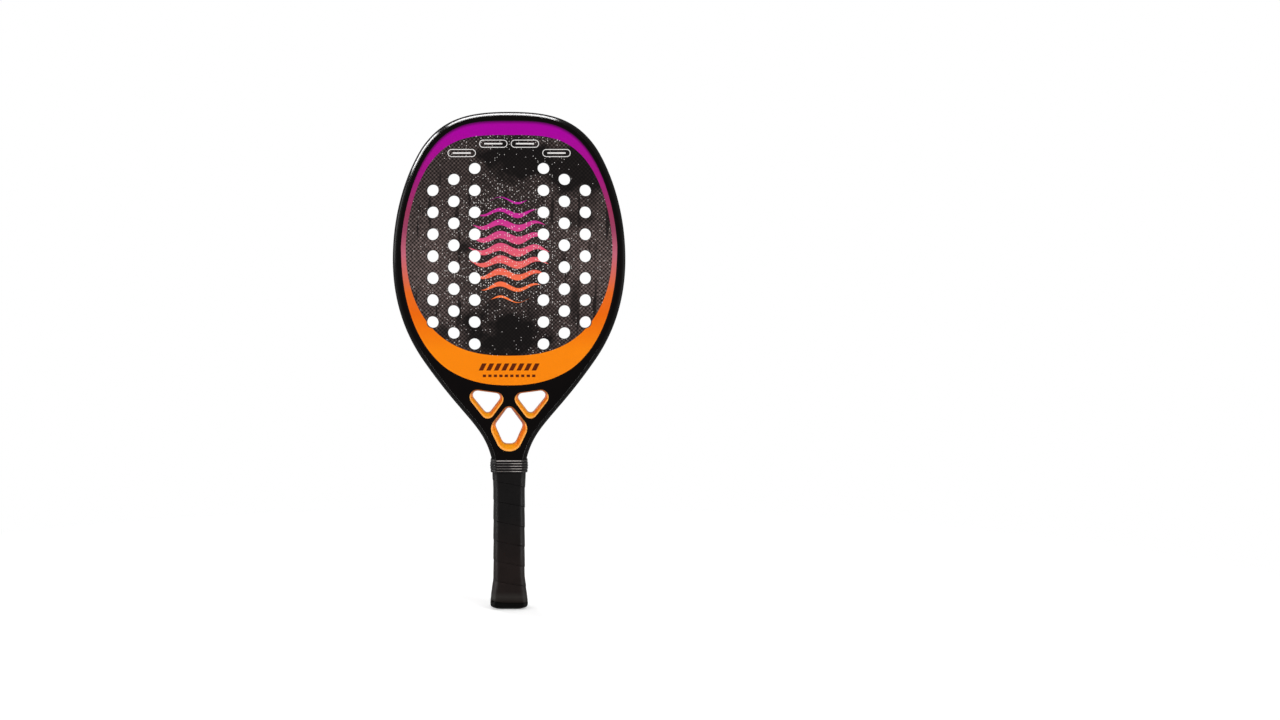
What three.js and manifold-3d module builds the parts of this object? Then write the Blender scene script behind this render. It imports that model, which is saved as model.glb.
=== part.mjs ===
// Beach tennis racket in millimetres, handle down, +Z along its length.
// The front hitting face looks along -Y. Heights are measured up from the butt end.
// The finished group is lowered by HOLD_HEIGHT, so the origin lies where a hand holds it.

import * as THREE from 'three';
import { mergeVertices } from 'three/addons/utils/BufferGeometryUtils.js';
import Module from 'manifold-3d';

const wasm = await Module();
wasm.setup();
const { Manifold, Mesh: SolidMesh } = wasm;

// Overall sizes
const LENGTH = 500;
const HEAD_WIDTH = 234.4;
const FRAME_THICKNESS = 22;
const BOWL_DEPTH = 126.6; // from the bottom of the face up to the widest place
const THROAT_LENGTH = 74.6; // from the neck up to the bottom of the face
const NECK_SPREAD = 3.2; // how much wider the neck is than the grip
const HOLD_HEIGHT = 75;

// Clearances and tools
const BOND = 0.3; // glue line or seat clearance between neighbouring pieces
const OVERRUN = 1; // how far a cut runs past the faces that it cuts

// Frame tube: a hollow laminate with bevelled outer edges, both legs run into the handle
const TUBE_DEPTH = 8.2;
const TUBE_WALL = 1.2;
const TUBE_RIM_FLAT = 11;
const TUBE_BEVEL = 4.3;
const LEG_CURVE_LENGTH = 28.3; // from where the legs start to spread up to the neck
const LEG_TAPER_DROP = 3.6; // from the neck down to where the legs start to thin
const LEG_TAPER_LENGTH = 9.7;
const LEG_FOOT_HEIGHT = 4;
const PLUG_LENGTH = 12;

// Hitting face: foam core between two laminate skins, drilled through
const SKIN_THICKNESS = 0.8;
const FACE_SPREAD = 0.5; // how far the lower edge curve would pass outside the tube
const HOLE_DIAMETER = 12;
const HOLE_WEB = 10.15;
const COLUMN_WEB = 9.1;
const MIDDLE_BAND = 57.4;
const HOLE_EDGE = 26;

// Throat windows and their liners
const UPPER_OUTER_RADIUS = 7.6;
const UPPER_INNER_RADIUS = 7.15;
const UPPER_FOOT_RADIUS = 6.7;
const WINDOW_WEB = 2.7; // from the tube to the lower window's corners, before they are rounded
const LOWER_TOP_RADIUS = 6.7;
const LOWER_SIDE_RADIUS = 11.6;
const LOWER_BOTTOM_RADIUS = 12.7;
const LINER_LIP = 0.4;
const LINER_LAND = 10;
const UPPER_SLOPES = { top: 1, side: 3.2, bottom: 5.3 };
const LOWER_SLOPES = { top: 1.8, side: 4, bottom: 6.3 };

// Handle: two pallets under a wound grip, closed by a cap and a collar
const GRIP_WIDTH = 32;
const GRIP_DEPTH = 28;
const GRIP_BEVEL_X = 3.2;
const GRIP_BEVEL_Y = 4.5;
const TAPE_THICKNESS = 1.5;
const TAPE_WIDTH = 19.4;
const TAPE_SEAM = 0.6;
const TAPE_TIP = 2;
const PALLET_TOP_HEIGHT = 140;
const PALLET_SIDE_WALL = 2.6;
const PALLET_FACE_WALL = 2.9;
const SHOULDER_LENGTH = 21;
const SHOULDER_FLARE = 1.35;
const BUTT_FLARE_HEIGHT = 28;
const BUTT_FLARE = 2.85;

const CAP_SKIRT_DROP = 4; // from the top of the butt's flare down to the skirt's edge
const CAP_LIP_HEIGHT = 7;
const CAP_WALL = 1.1;
const STAPLE_WIRE = 0.8;
const STAPLE_CROWN = 6;
const STAPLE_HEIGHT = 15;
const STAPLE_OFFSET = 6.5;
const STAPLE_SUNK = 0.4;
const STAPLE_STANDOFF = 0.6;

const BAND_THICKNESS = 0.5;
const BAND_HEIGHT = 6.9;
const COLLAR_OVER_TAPE = 2.6; // height over the grip's top
const COLLAR_OVER_LEGS = 3.1; // height above the band
const COLLAR_WALL = 0.9;
const COLLAR_LIP_WALL = 0.6;
const COLLAR_BULGE = 0.7;
const COLLAR_LAP = 1.6;
const RIB_COUNT = 5;
const GROOVE_WIDTH = 0.9;
const GROOVE_DEPTH = 0.45;

// Heights and widths that follow from the sizes above
const BAND_BOTTOM_HEIGHT = PALLET_TOP_HEIGHT + BOND;
const BAND_TOP_HEIGHT = BAND_BOTTOM_HEIGHT + BAND_HEIGHT;
const NECK_HEIGHT = BAND_TOP_HEIGHT + COLLAR_OVER_LEGS;
const FACE_BOTTOM_HEIGHT = NECK_HEIGHT + THROAT_LENGTH;
const WIDEST_HEIGHT = FACE_BOTTOM_HEIGHT + BOWL_DEPTH;
const SHOULDER_HEIGHT = PALLET_TOP_HEIGHT - SHOULDER_LENGTH;
const CAP_SKIRT_HEIGHT = BUTT_FLARE_HEIGHT - CAP_SKIRT_DROP;
const LEG_STRAIGHT_HEIGHT = NECK_HEIGHT - LEG_CURVE_LENGTH;
const LEG_TAPER_TOP = NECK_HEIGHT - LEG_TAPER_DROP;
const LEG_TAPER_BOTTOM = LEG_TAPER_TOP - LEG_TAPER_LENGTH;
const NECK_WIDTH = GRIP_WIDTH + NECK_SPREAD;
const WRAP = TAPE_THICKNESS + BOND;
const LEG_SPAN = GRIP_WIDTH - 2 * (WRAP + PALLET_SIDE_WALL + BOND);
const LEG_THICKNESS = GRIP_DEPTH - 2 * (WRAP + PALLET_FACE_WALL + BOND);

// Facets
const HOLE_SIDES = 10;
const CORNER_STEPS = 8;
const BOWL_STEPS = 28;
const CROWN_STEPS = 10;
const FLANK_STEPS = 12;
const LEG_STEPS = 10;
const FLAT_STEPS = 4; // grip steps along each flat of the octagon
const BEVEL_STEPS = 2; // grip steps along each bevel, 24 steps to a turn in all

// Outline shares, as [across, up]. Above the widest height they are shares of the half
// width and of the crown's height, below it of the way from the neck to the widest point.
const crownShares = [[0, 1], [0.337, 1], [0.566, 0.962], [0.743, 0.763]];
const shoulderShares = [[0.743, 0.763], [0.772, 0.731], [1, 0.448], [1, 0]];
const flankShares = [[1, 1], [1, 0.723], [0.779, 0.555], [0.673, 0.481]];
const throatShares = [[0.673, 0.481], [0.277, 0.2025], [0.08, 0.167], [0, 0]];
const legShares = [[1, 1], [0.508, 0.538], [0, 0.327], [0, 0]];
const faceBottomExponent = 2.3;
const hornShare = 0.26; // where the throat panel's horns end, up the face's lower half
const holeFieldLowShare = 0.3247;
const holeFieldHighShare = 0.6175;
// Window corners before rounding: across as a share of the panel's half width, up as a share
// of the way from the neck to the bottom of the face.
const upperOuterShares = [0.889, 0.975];
const upperInnerUpShare = 0.885;
const upperFootShares = [0.822, 0.494];
const lowerTopUpShare = 0.7705;
const lowerSideUpShare = 0.438;
const lowerBottomUpShare = 0.111;
const buttFlareExponent = 0.7; // under 1 makes the flare bulge
// Butt dome, as [height share of the lip, width share of the lip]
const domeShares = [[0, 0.5], [0.25, 0.8], [0.4, 0.935], [0.67, 0.98], [1, 1]];

const materials = {
  lacquer: finish(0x101012, 0.22, 0),
  carbon: finish(0x2b2b2e, 0.35, 0),
  foam: finish(0x1c1c1f, 0.9, 0),
  liner: finish(0xff8d0c, 0.4, 0),
  pallet: finish(0x3a3a3c, 0.8, 0),
  rubber: finish(0x26262a, 0.7, 0),
  grip: finish(0x1b1b1d, 0.75, 0),
  cap: finish(0x0c0c0e, 0.35, 0),
  steel: finish(0xb9bcc0, 0.3, 1),
};

function finish(color, roughness, metalness) {
  return new THREE.MeshStandardMaterial({ color, roughness, metalness, flatShading: true });
}

// Solids

function toSolid(geometry) {
  geometry.deleteAttribute('normal');
  geometry.deleteAttribute('uv');
  const merged = mergeVertices(geometry);
  return new Manifold(new SolidMesh({
    numProp: 3,
    vertProperties: new Float32Array(merged.attributes.position.array),
    triVerts: new Uint32Array(merged.index.array),
  }));
}

function toMesh(name, solid, material) {
  const { vertProperties, triVerts } = solid.getMesh();
  const geometry = new THREE.BufferGeometry();
  geometry.setAttribute('position', new THREE.BufferAttribute(vertProperties, 3));
  geometry.setIndex(new THREE.BufferAttribute(triVerts, 1));
  geometry.computeVertexNormals();
  const mesh = new THREE.Mesh(geometry, material);
  mesh.name = name;
  return mesh;
}

// A slab whose outline is drawn in X and Z, from lowY to highY.
function slab(points, lowY, highY) {
  const shape = new THREE.Shape(points);
  const geometry = new THREE.ExtrudeGeometry(shape, { depth: highY - lowY, bevelEnabled: false });
  geometry.rotateX(Math.PI / 2);
  geometry.translate(0, highY, 0);
  return toSolid(geometry);
}

function block(low, high) {
  const size = new THREE.Vector3().subVectors(high, low);
  const middle = new THREE.Vector3().addVectors(low, high).multiplyScalar(0.5);
  const geometry = new THREE.BoxGeometry(size.x, size.y, size.z);
  geometry.translate(middle.x, middle.y, middle.z);
  return toSolid(geometry);
}

// A solid through rings of points, each ring convex and all of them of one length.
function loft(rings) {
  const count = rings[0].length;
  const positions = rings.flat().flatMap((point) => [point.x, point.y, point.z]);
  const index = [];
  for (let ring = 0; ring < rings.length - 1; ring += 1) {
    for (let k = 0; k < count; k += 1) {
      const a = ring * count + k;
      const b = ring * count + ((k + 1) % count);
      index.push(a, b, b + count, a, b + count, a + count);
    }
  }
  const last = (rings.length - 1) * count;
  for (let k = 1; k < count - 1; k += 1) {
    index.push(0, k + 1, k, last, last + k, last + k + 1);
  }
  if (signedVolume(positions, index) < 0) {
    index.reverse();
  }
  const geometry = new THREE.BufferGeometry();
  geometry.setAttribute('position', new THREE.Float32BufferAttribute(positions, 3));
  geometry.setIndex(index);
  return toSolid(geometry);
}

function signedVolume(positions, index) {
  const corner = (i) => new THREE.Vector3().fromArray(positions, 3 * i);
  let sum = 0;
  for (let k = 0; k < index.length; k += 3) {
    const [a, b, c] = [corner(index[k]), corner(index[k + 1]), corner(index[k + 2])];
    sum += a.dot(b.cross(c));
  }
  return sum;
}

// Flat outlines

// Moves each edge of a convex anticlockwise outline inwards, or outwards where it is negative.
function inset(points, distance) {
  const count = points.length;
  const normals = points.map((point, k) => {
    const edge = new THREE.Vector2().subVectors(points[(k + 1) % count], point).normalize();
    return new THREE.Vector2(edge.y, -edge.x);
  });
  return points.map((point, k) => {
    const before = normals[(k + count - 1) % count];
    const sum = before.clone().add(normals[k]);
    return point.clone().addScaledVector(sum, -distance / (1 + before.dot(normals[k])));
  });
}

// Rounds each corner of an outline with an arc, held back where the sides are too short.
function roundCorners(corners) {
  const count = corners.length;
  return corners.flatMap((corner, k) => {
    const toBefore = new THREE.Vector2().subVectors(corners[(k + count - 1) % count].at, corner.at);
    const toAfter = new THREE.Vector2().subVectors(corners[(k + 1) % count].at, corner.at);
    const room = Math.min(toBefore.length(), toAfter.length()) / 2;
    toBefore.normalize();
    toAfter.normalize();
    const half = Math.acos(toBefore.dot(toAfter)) / 2;
    const radius = Math.min(corner.radius, room * Math.tan(half));
    const inwards = toBefore.clone().add(toAfter).normalize();
    const centre = corner.at.clone().addScaledVector(inwards, radius / Math.sin(half));
    const sweep = Math.PI / 2 - half;
    const middle = Math.atan2(-inwards.y, -inwards.x);
    return Array.from({ length: CORNER_STEPS + 1 }, (_, step) => {
      const angle = middle + sweep * ((2 * step) / CORNER_STEPS - 1);
      return new THREE.Vector2(Math.cos(angle), Math.sin(angle)).multiplyScalar(radius).add(centre);
    });
  });
}

// The value at a height, from a list of [height, value] that falls in height.
function atHeight(list, height) {
  const next = list.findIndex((entry) => entry[0] <= height);
  if (next === 0) {
    return list[0][1];
  }
  if (next < 0) {
    return list.at(-1)[1];
  }
  const [highHeight, highValue] = list[next - 1];
  const [lowHeight, lowValue] = list[next];
  return THREE.MathUtils.mapLinear(height, lowHeight, highHeight, lowValue, highValue);
}

// Frame outline

// Right half of the racket's outline from the tip down to the leg's foot, with inward normals.
function outlineEdge() {
  const head = HEAD_WIDTH / 2;
  const neck = NECK_WIDTH / 2;
  const leg = LEG_SPAN / 2;
  const stretches = [
    [crownShares, 0, head, WIDEST_HEIGHT, LENGTH, CROWN_STEPS],
    [shoulderShares, 0, head, WIDEST_HEIGHT, LENGTH, CROWN_STEPS],
    [flankShares, neck, head, NECK_HEIGHT, WIDEST_HEIGHT, FLANK_STEPS],
    [throatShares, neck, head, NECK_HEIGHT, WIDEST_HEIGHT, FLANK_STEPS],
    [legShares, leg, neck, LEG_STRAIGHT_HEIGHT, NECK_HEIGHT, LEG_STEPS],
  ];
  const edge = [];
  for (const [shares, nearX, farX, lowZ, highZ, steps] of stretches) {
    const controls = shares.map(([across, up]) => new THREE.Vector2(
      THREE.MathUtils.lerp(nearX, farX, across), THREE.MathUtils.lerp(lowZ, highZ, up)));
    const curve = new THREE.CubicBezierCurve(...controls);
    for (let step = edge.length ? 1 : 0; step <= steps; step += 1) {
      const tangent = curve.getTangent(step / steps);
      edge.push({
        at: curve.getPoint(step / steps),
        inwards: new THREE.Vector2(tangent.y, -tangent.x),
      });
    }
  }
  edge[0].inwards.set(0, -1);
  const straight = new THREE.Vector2(-1, 0);
  edge.push({ at: new THREE.Vector2(leg, LEG_FOOT_HEIGHT), inwards: straight });
  return edge;
}

const rightEdge = outlineEdge();
const legHalfWidths = rightEdge.map(({ at }) => [at.y, at.x]);

// The closed region inside the outline, moved inwards by a distance.
function regionInside(distance) {
  const right = rightEdge.map(({ at, inwards }) => at.clone().addScaledVector(inwards, distance));
  right[0].x = 0;
  const left = right.slice(1).map((point) => new THREE.Vector2(-point.x, point.y));
  return [...right.reverse(), ...left];
}

const panelEdge = rightEdge.map(({ at, inwards }) => {
  const point = at.clone().addScaledVector(inwards, TUBE_DEPTH + BOND);
  return [point.y, point.x];
});
const panelHalfWidth = (height) => atHeight(panelEdge, height);
const faceHalfWidth = HEAD_WIDTH / 2 - TUBE_DEPTH - BOND;

function halfThickness(height) {
  const rise = (height - LEG_TAPER_BOTTOM) / (LEG_TAPER_TOP - LEG_TAPER_BOTTOM);
  const share = THREE.MathUtils.clamp(rise, 0, 1);
  return THREE.MathUtils.lerp(LEG_THICKNESS, FRAME_THICKNESS, share) / 2;
}

// Frame tube

// Section of the tube as (inwards, across the thickness), with its outer corners bevelled.
function tubeSection(height) {
  const half = halfThickness(height);
  const rim = (TUBE_RIM_FLAT / FRAME_THICKNESS) * half;
  return [
    [0, -rim], [TUBE_BEVEL, -half], [TUBE_DEPTH, -half],
    [TUBE_DEPTH, half], [TUBE_BEVEL, half], [0, rim],
  ].map(([inwards, across]) => new THREE.Vector2(inwards, across));
}

function tubeRing({ at, inwards }, side, wall) {
  return inset(tubeSection(at.y), wall).map((point) => new THREE.Vector3(
    side * (at.x + point.x * inwards.x), point.y, at.y + point.x * inwards.y));
}

function tubeSweep(wall, footOverrun) {
  const foot = rightEdge.at(-1);
  const lowered = { at: foot.at.clone().setY(foot.at.y - footOverrun), inwards: foot.inwards };
  const path = [...rightEdge.slice(0, -1), lowered];
  const rings = [
    ...path.slice(1).reverse().map((place) => tubeRing(place, 1, wall)),
    ...path.map((place) => tubeRing(place, -1, wall)),
  ];
  return loft(rings);
}

function frameTube() {
  return tubeSweep(0, 0).subtract(tubeSweep(TUBE_WALL, OVERRUN));
}

// A foam plug that closes the open foot of one leg.
function tubePlug(side) {
  const foot = rightEdge.at(-1);
  const top = { at: foot.at.clone().setY(foot.at.y + PLUG_LENGTH), inwards: foot.inwards };
  return loft([foot, top].map((place) => tubeRing(place, side, TUBE_WALL + BOND)));
}

// Hitting face

// Everything above the lower edge of the face, which is a superellipse below the horns.
function aboveFaceEdge(growth) {
  const across = faceHalfWidth + FACE_SPREAD + growth;
  const down = WIDEST_HEIGHT - FACE_BOTTOM_HEIGHT + growth;
  const hornHeight = THREE.MathUtils.lerp(FACE_BOTTOM_HEIGHT, WIDEST_HEIGHT, hornShare) - growth;
  const lowest = (WIDEST_HEIGHT - hornHeight) / down;
  const n = faceBottomExponent;
  const hornAcross = (1 - lowest ** n) ** (1 / n);
  const start = Math.acos(hornAcross ** (n / 2));
  const right = Array.from({ length: BOWL_STEPS / 2 + 1 }, (_, step) => {
    const angle = THREE.MathUtils.lerp(start, Math.PI / 2, (2 * step) / BOWL_STEPS);
    const x = Math.max(Math.cos(angle), 0) ** (2 / n);
    return new THREE.Vector2(across * x, WIDEST_HEIGHT - down * Math.sin(angle) ** (2 / n));
  });
  const bottom = right.pop().setX(0);
  const left = right.map((point) => new THREE.Vector2(-point.x, point.y));
  const wide = HEAD_WIDTH;
  const top = LENGTH + OVERRUN;
  return [
    new THREE.Vector2(-wide, top), new THREE.Vector2(-wide, hornHeight), ...left, bottom,
    ...right.reverse(), new THREE.Vector2(wide, hornHeight), new THREE.Vector2(wide, top),
  ];
}

// Staggered columns of holes on both sides of the undrilled middle band.
function faceHoles() {
  const radius = HOLE_DIAMETER / 2;
  const pitch = HOLE_DIAMETER + HOLE_WEB;
  const spacing = HOLE_DIAMETER + COLUMN_WEB;
  const firstColumn = MIDDLE_BAND / 2 + radius;
  const low = THREE.MathUtils.lerp(FACE_BOTTOM_HEIGHT, WIDEST_HEIGHT, holeFieldLowShare);
  const high = THREE.MathUtils.lerp(WIDEST_HEIGHT, LENGTH, holeFieldHighShare);
  const rows = Math.round((high - low) / pitch) + 1;
  const columns = Math.floor((faceHalfWidth - HOLE_EDGE - firstColumn) / spacing) + 1;
  const holes = [];
  for (let column = 0; column < columns; column += 1) {
    const count = rows - column;
    const x = firstColumn + column * spacing;
    for (let row = 0; row < count; row += 1) {
      const z = (low + high) / 2 + (row - (count - 1) / 2) * pitch;
      for (const side of [-1, 1]) {
        const hole = new THREE.CylinderGeometry(
          radius, radius, FRAME_THICKNESS + 2 * OVERRUN, HOLE_SIDES);
        hole.translate(side * x, 0, z);
        holes.push(toSolid(hole));
      }
    }
  }
  return Manifold.union(holes);
}

const panelRegion = regionInside(TUBE_DEPTH + BOND);
const holes = faceHoles();

function faceLayer(lowY, highY) {
  return slab(panelRegion, lowY, highY)
    .intersect(slab(aboveFaceEdge(0), lowY - OVERRUN, highY + OVERRUN))
    .subtract(holes);
}

// Throat

const throatBottom = NECK_HEIGHT - COLLAR_LAP;
const throatHeight = (share) => THREE.MathUtils.lerp(NECK_HEIGHT, FACE_BOTTOM_HEIGHT, share);

// A window beside the middle post. Its inner corner starts in the middle of the throat, and
// the rounding of that corner leaves half of the post.
function upperWindow(side) {
  const footHeight = throatHeight(upperFootShares[1]);
  const outerHeight = throatHeight(upperOuterShares[1]);
  const corners = [
    [upperOuterShares[0] * panelHalfWidth(outerHeight), outerHeight, UPPER_OUTER_RADIUS],
    [0, throatHeight(upperInnerUpShare), UPPER_INNER_RADIUS],
    [upperFootShares[0] * panelHalfWidth(footHeight), footHeight, UPPER_FOOT_RADIUS],
  ].map(([x, z, radius]) => ({ at: new THREE.Vector2(side * x, z), radius }));
  return roundCorners(side > 0 ? corners : corners.reverse());
}

function lowerWindow() {
  const sideHeight = throatHeight(lowerSideUpShare);
  const bottomHeight = throatHeight(lowerBottomUpShare);
  const sideX = panelHalfWidth(sideHeight) - WINDOW_WEB;
  const bottomX = panelHalfWidth(bottomHeight) - WINDOW_WEB;
  return roundCorners([
    { at: new THREE.Vector2(0, throatHeight(lowerTopUpShare)), radius: LOWER_TOP_RADIUS },
    { at: new THREE.Vector2(-sideX, sideHeight), radius: LOWER_SIDE_RADIUS },
    { at: new THREE.Vector2(-bottomX, bottomHeight), radius: LOWER_BOTTOM_RADIUS },
    { at: new THREE.Vector2(bottomX, bottomHeight), radius: LOWER_BOTTOM_RADIUS },
    { at: new THREE.Vector2(sideX, sideHeight), radius: LOWER_SIDE_RADIUS },
  ]);
}

const windows = {
  left: { outline: upperWindow(-1), slopes: UPPER_SLOPES },
  right: { outline: upperWindow(1), slopes: UPPER_SLOPES },
  lower: { outline: lowerWindow(), slopes: LOWER_SLOPES },
};

function throatLayer(lowY, highY) {
  const low = new THREE.Vector3(-HEAD_WIDTH, lowY - OVERRUN, 0);
  const high = new THREE.Vector3(HEAD_WIDTH, highY + OVERRUN, throatBottom);
  const cuts = Object.values(windows).map(({ outline }) => (
    slab(outline, lowY - OVERRUN, highY + OVERRUN)));
  return slab(panelRegion, lowY, highY)
    .subtract(slab(aboveFaceEdge(BOND), lowY - OVERRUN, highY + OVERRUN))
    .subtract(block(low, high))
    .subtract(Manifold.union(cuts));
}

// A window's lining: flush with both skins, sloping in from each face to a straight land.
function windowLiner({ outline, slopes }) {
  const half = FRAME_THICKNESS / 2;
  const mouth = inset(outline, BOND + LINER_LIP);
  const xs = mouth.map((point) => point.x);
  const ys = mouth.map((point) => point.y);
  const [west, east] = [Math.min(...xs), Math.max(...xs)];
  const [south, north] = [Math.min(...ys), Math.max(...ys)];
  const aperture = mouth.map((point) => new THREE.Vector2(
    THREE.MathUtils.mapLinear(point.x, west, east, west + slopes.side, east - slopes.side),
    THREE.MathUtils.mapLinear(point.y, south, north, south + slopes.bottom, north - slopes.top)));
  const ringAt = (points, y) => points.map((point) => new THREE.Vector3(point.x, y, point.y));
  const opening = loft([
    ringAt(mouth, -half - OVERRUN), ringAt(mouth, -half),
    ringAt(aperture, -LINER_LAND / 2), ringAt(aperture, LINER_LAND / 2),
    ringAt(mouth, half), ringAt(mouth, half + OVERRUN),
  ]);
  return slab(inset(outline, BOND), -half, half).subtract(opening);
}

// Handle

// An eight-sided section, anticlockwise from the lower end of the right flat.
function octagon(halfX, halfY, bevelX, bevelY) {
  const flatX = halfX - bevelX;
  const flatY = halfY - bevelY;
  return [
    [halfX, -flatY], [halfX, flatY], [flatX, halfY], [-flatX, halfY],
    [-halfX, flatY], [-halfX, -flatY], [-flatX, -halfY], [flatX, -halfY],
  ].map(([x, y]) => new THREE.Vector2(x, y));
}

const ringAtHeight = (points, z) => points.map((point) => new THREE.Vector3(point.x, point.y, z));

// Section over both legs, which the pallets, the band and the collar close round.
function legSection(height) {
  const half = halfThickness(height);
  const rim = (TUBE_RIM_FLAT / FRAME_THICKNESS) * half;
  return octagon(atHeight(legHalfWidths, height), half, TUBE_BEVEL, half - rim);
}

// Surface that the grip is wound on, flared towards the butt and towards the collar.
function gripSeat(height) {
  const buttRise = (BUTT_FLARE_HEIGHT - height) / (BUTT_FLARE_HEIGHT - CAP_LIP_HEIGHT);
  const butt = BUTT_FLARE * THREE.MathUtils.clamp(buttRise, 0, 1) ** buttFlareExponent;
  const shoulderRise = (height - SHOULDER_HEIGHT) / (PALLET_TOP_HEIGHT - SHOULDER_HEIGHT);
  const shoulder = SHOULDER_FLARE * THREE.MathUtils.clamp(shoulderRise, 0, 1);
  return octagon(
    GRIP_WIDTH / 2 - WRAP + butt + shoulder, GRIP_DEPTH / 2 - WRAP + butt,
    GRIP_BEVEL_X, GRIP_BEVEL_Y);
}

const legHeights = legHalfWidths.map(([height]) => height);
const heightsBetween = (low, high) => [
  low, ...legHeights.filter((height) => height > low && height < high).reverse(), high];

function legSleeve(clearance, low, high) {
  return loft(heightsBetween(low, high).map((height) => (
    ringAtHeight(inset(legSection(height), -clearance), height))));
}

// The foam bar between the two legs.
function handleCore() {
  const heights = heightsBetween(LEG_FOOT_HEIGHT, throatBottom - BOND);
  const bar = loft(heights.map((height) => {
    const half = halfThickness(height);
    return ringAtHeight([
      new THREE.Vector2(-NECK_WIDTH, -half), new THREE.Vector2(NECK_WIDTH, -half),
      new THREE.Vector2(NECK_WIDTH, half), new THREE.Vector2(-NECK_WIDTH, half),
    ], height);
  }));
  return bar.intersect(slab(panelRegion, -FRAME_THICKNESS, FRAME_THICKNESS));
}

const skirtInside = inset(gripSeat(BUTT_FLARE_HEIGHT), CAP_WALL);

// Front or rear half of the moulded pallet, stepped in at its foot for the cap's skirt.
function handlePallet(side) {
  const step = CAP_SKIRT_HEIGHT + BOND;
  const foot = inset(skirtInside, BOND);
  const outside = loft([
    ringAtHeight(foot, LEG_FOOT_HEIGHT), ringAtHeight(foot, step),
    ringAtHeight(gripSeat(step), step), ringAtHeight(gripSeat(BUTT_FLARE_HEIGHT), BUTT_FLARE_HEIGHT),
    ringAtHeight(gripSeat(SHOULDER_HEIGHT), SHOULDER_HEIGHT),
    ringAtHeight(gripSeat(PALLET_TOP_HEIGHT), PALLET_TOP_HEIGHT),
  ]);
  const inside = legSleeve(BOND, LEG_FOOT_HEIGHT - OVERRUN, PALLET_TOP_HEIGHT + OVERRUN);
  const ys = [side * BOND / 2, side * GRIP_DEPTH];
  const half = block(
    new THREE.Vector3(-GRIP_WIDTH, Math.min(...ys), 0),
    new THREE.Vector3(GRIP_WIDTH, Math.max(...ys), LENGTH));
  return outside.subtract(inside).intersect(half).subtract(stapleCuts());
}

// Butt cap: a cup pushed over the pallets, with a lip that the grip ends against.
function buttCap() {
  const lip = inset(gripSeat(CAP_LIP_HEIGHT), -WRAP);
  const dome = domeShares.map(([up, across]) => ringAtHeight(
    lip.map((point) => point.clone().multiplyScalar(across)), up * CAP_LIP_HEIGHT));
  const middle = (CAP_LIP_HEIGHT + CAP_SKIRT_HEIGHT) / 2;
  const skirt = [CAP_LIP_HEIGHT, middle, CAP_SKIRT_HEIGHT].map((height) => (
    ringAtHeight(gripSeat(height), height)));
  const pocket = loft([LEG_FOOT_HEIGHT - BOND, CAP_SKIRT_HEIGHT + OVERRUN].map((height) => (
    ringAtHeight(skirtInside, height))));
  return loft([...dome, ...skirt]).subtract(pocket).subtract(stapleCuts());
}

// Staples through the cap's skirt into the pallets

const staplePlaces = [[-1, -1], [1, -1], [-1, 1], [1, 1]];

// A staple with its crown sunk below the skirt. A growth makes the cut that it sits in.
function staple([acrossSide, faceSide], growth, outwards) {
  const crownY = gripSeat(STAPLE_HEIGHT)[2].y - STAPLE_SUNK;
  const innerY = halfThickness(LEG_FOOT_HEIGHT) + STAPLE_STANDOFF - growth;
  const outer = STAPLE_CROWN / 2;
  const inner = outer - STAPLE_WIRE;
  const [lowZ, highZ] = [-1, 1].map((end) => STAPLE_HEIGHT + end * (STAPLE_WIRE / 2 + growth));
  const bars = [
    [-outer - growth, outer + growth, crownY - STAPLE_WIRE - growth, crownY + outwards],
    [-outer - growth, -inner + growth, innerY, crownY],
    [inner - growth, outer + growth, innerY, crownY],
  ];
  return Manifold.union(bars.map(([lowX, highX, lowY, highY]) => {
    const ys = [faceSide * lowY, faceSide * highY];
    const middleX = acrossSide * STAPLE_OFFSET;
    return block(
      new THREE.Vector3(middleX + lowX, Math.min(...ys), lowZ),
      new THREE.Vector3(middleX + highX, Math.max(...ys), highZ));
  }));
}

function stapleCuts() {
  return Manifold.union(staplePlaces.map((place) => staple(place, BOND, BUTT_FLARE)));
}

// Wound grip

const stepsPerSide = [
  FLAT_STEPS, BEVEL_STEPS, FLAT_STEPS, BEVEL_STEPS,
  FLAT_STEPS, BEVEL_STEPS, FLAT_STEPS, BEVEL_STEPS,
];
const stepsPerTurn = stepsPerSide.reduce((sum, steps) => sum + steps);

// The point a number of steps round an octagon.
function aroundOctagon(points, step) {
  let rest = step % stepsPerTurn;
  let side = 0;
  while (rest >= stepsPerSide[side]) {
    rest -= stepsPerSide[side];
    side += 1;
  }
  const next = points[(side + 1) % points.length];
  return points[side].clone().lerp(next, rest / stepsPerSide[side]);
}

// One strip wound up the handle, from the left over the rear to the front. Its ends taper off
// against the cap's lip and the collar.
function gripRings() {
  const bottom = CAP_LIP_HEIGHT + BOND;
  const top = PALLET_TOP_HEIGHT - BOND;
  const rise = (TAPE_WIDTH + TAPE_SEAM) / stepsPerTurn;
  const steps = Math.floor((top - bottom + TAPE_WIDTH - 2 * TAPE_TIP) / rise);
  return Array.from({ length: steps + 1 }, (_, step) => {
    const upper = bottom + TAPE_TIP + rise * step;
    const low = Math.max(bottom, upper - TAPE_WIDTH);
    const high = Math.min(top, upper);
    const onSurface = (height, distance) => {
      const flat = aroundOctagon(inset(gripSeat(height), -distance), step);
      return new THREE.Vector3(-flat.x, flat.y, height);
    };
    const heights = [low, (low + high) / 2, high];
    return [
      ...heights.map((height) => onSurface(height, BOND)),
      ...heights.reverse().map((height) => onSurface(height, BOND + TAPE_THICKNESS)),
    ];
  });
}

// Least distance between the points of one turn's upper edge and the next turn's lower edge.
function leastSeam(rings) {
  let least = Infinity;
  for (let step = 0; step + stepsPerTurn < rings.length; step += 1) {
    const upper = rings[step].slice(2, 4);
    const next = rings[step + stepsPerTurn];
    const lower = [next[0], next.at(-1)];
    upper.forEach((point, k) => {
      least = Math.min(least, point.distanceTo(lower[k]));
    });
  }
  return least;
}

// Collar and the band below it

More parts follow.
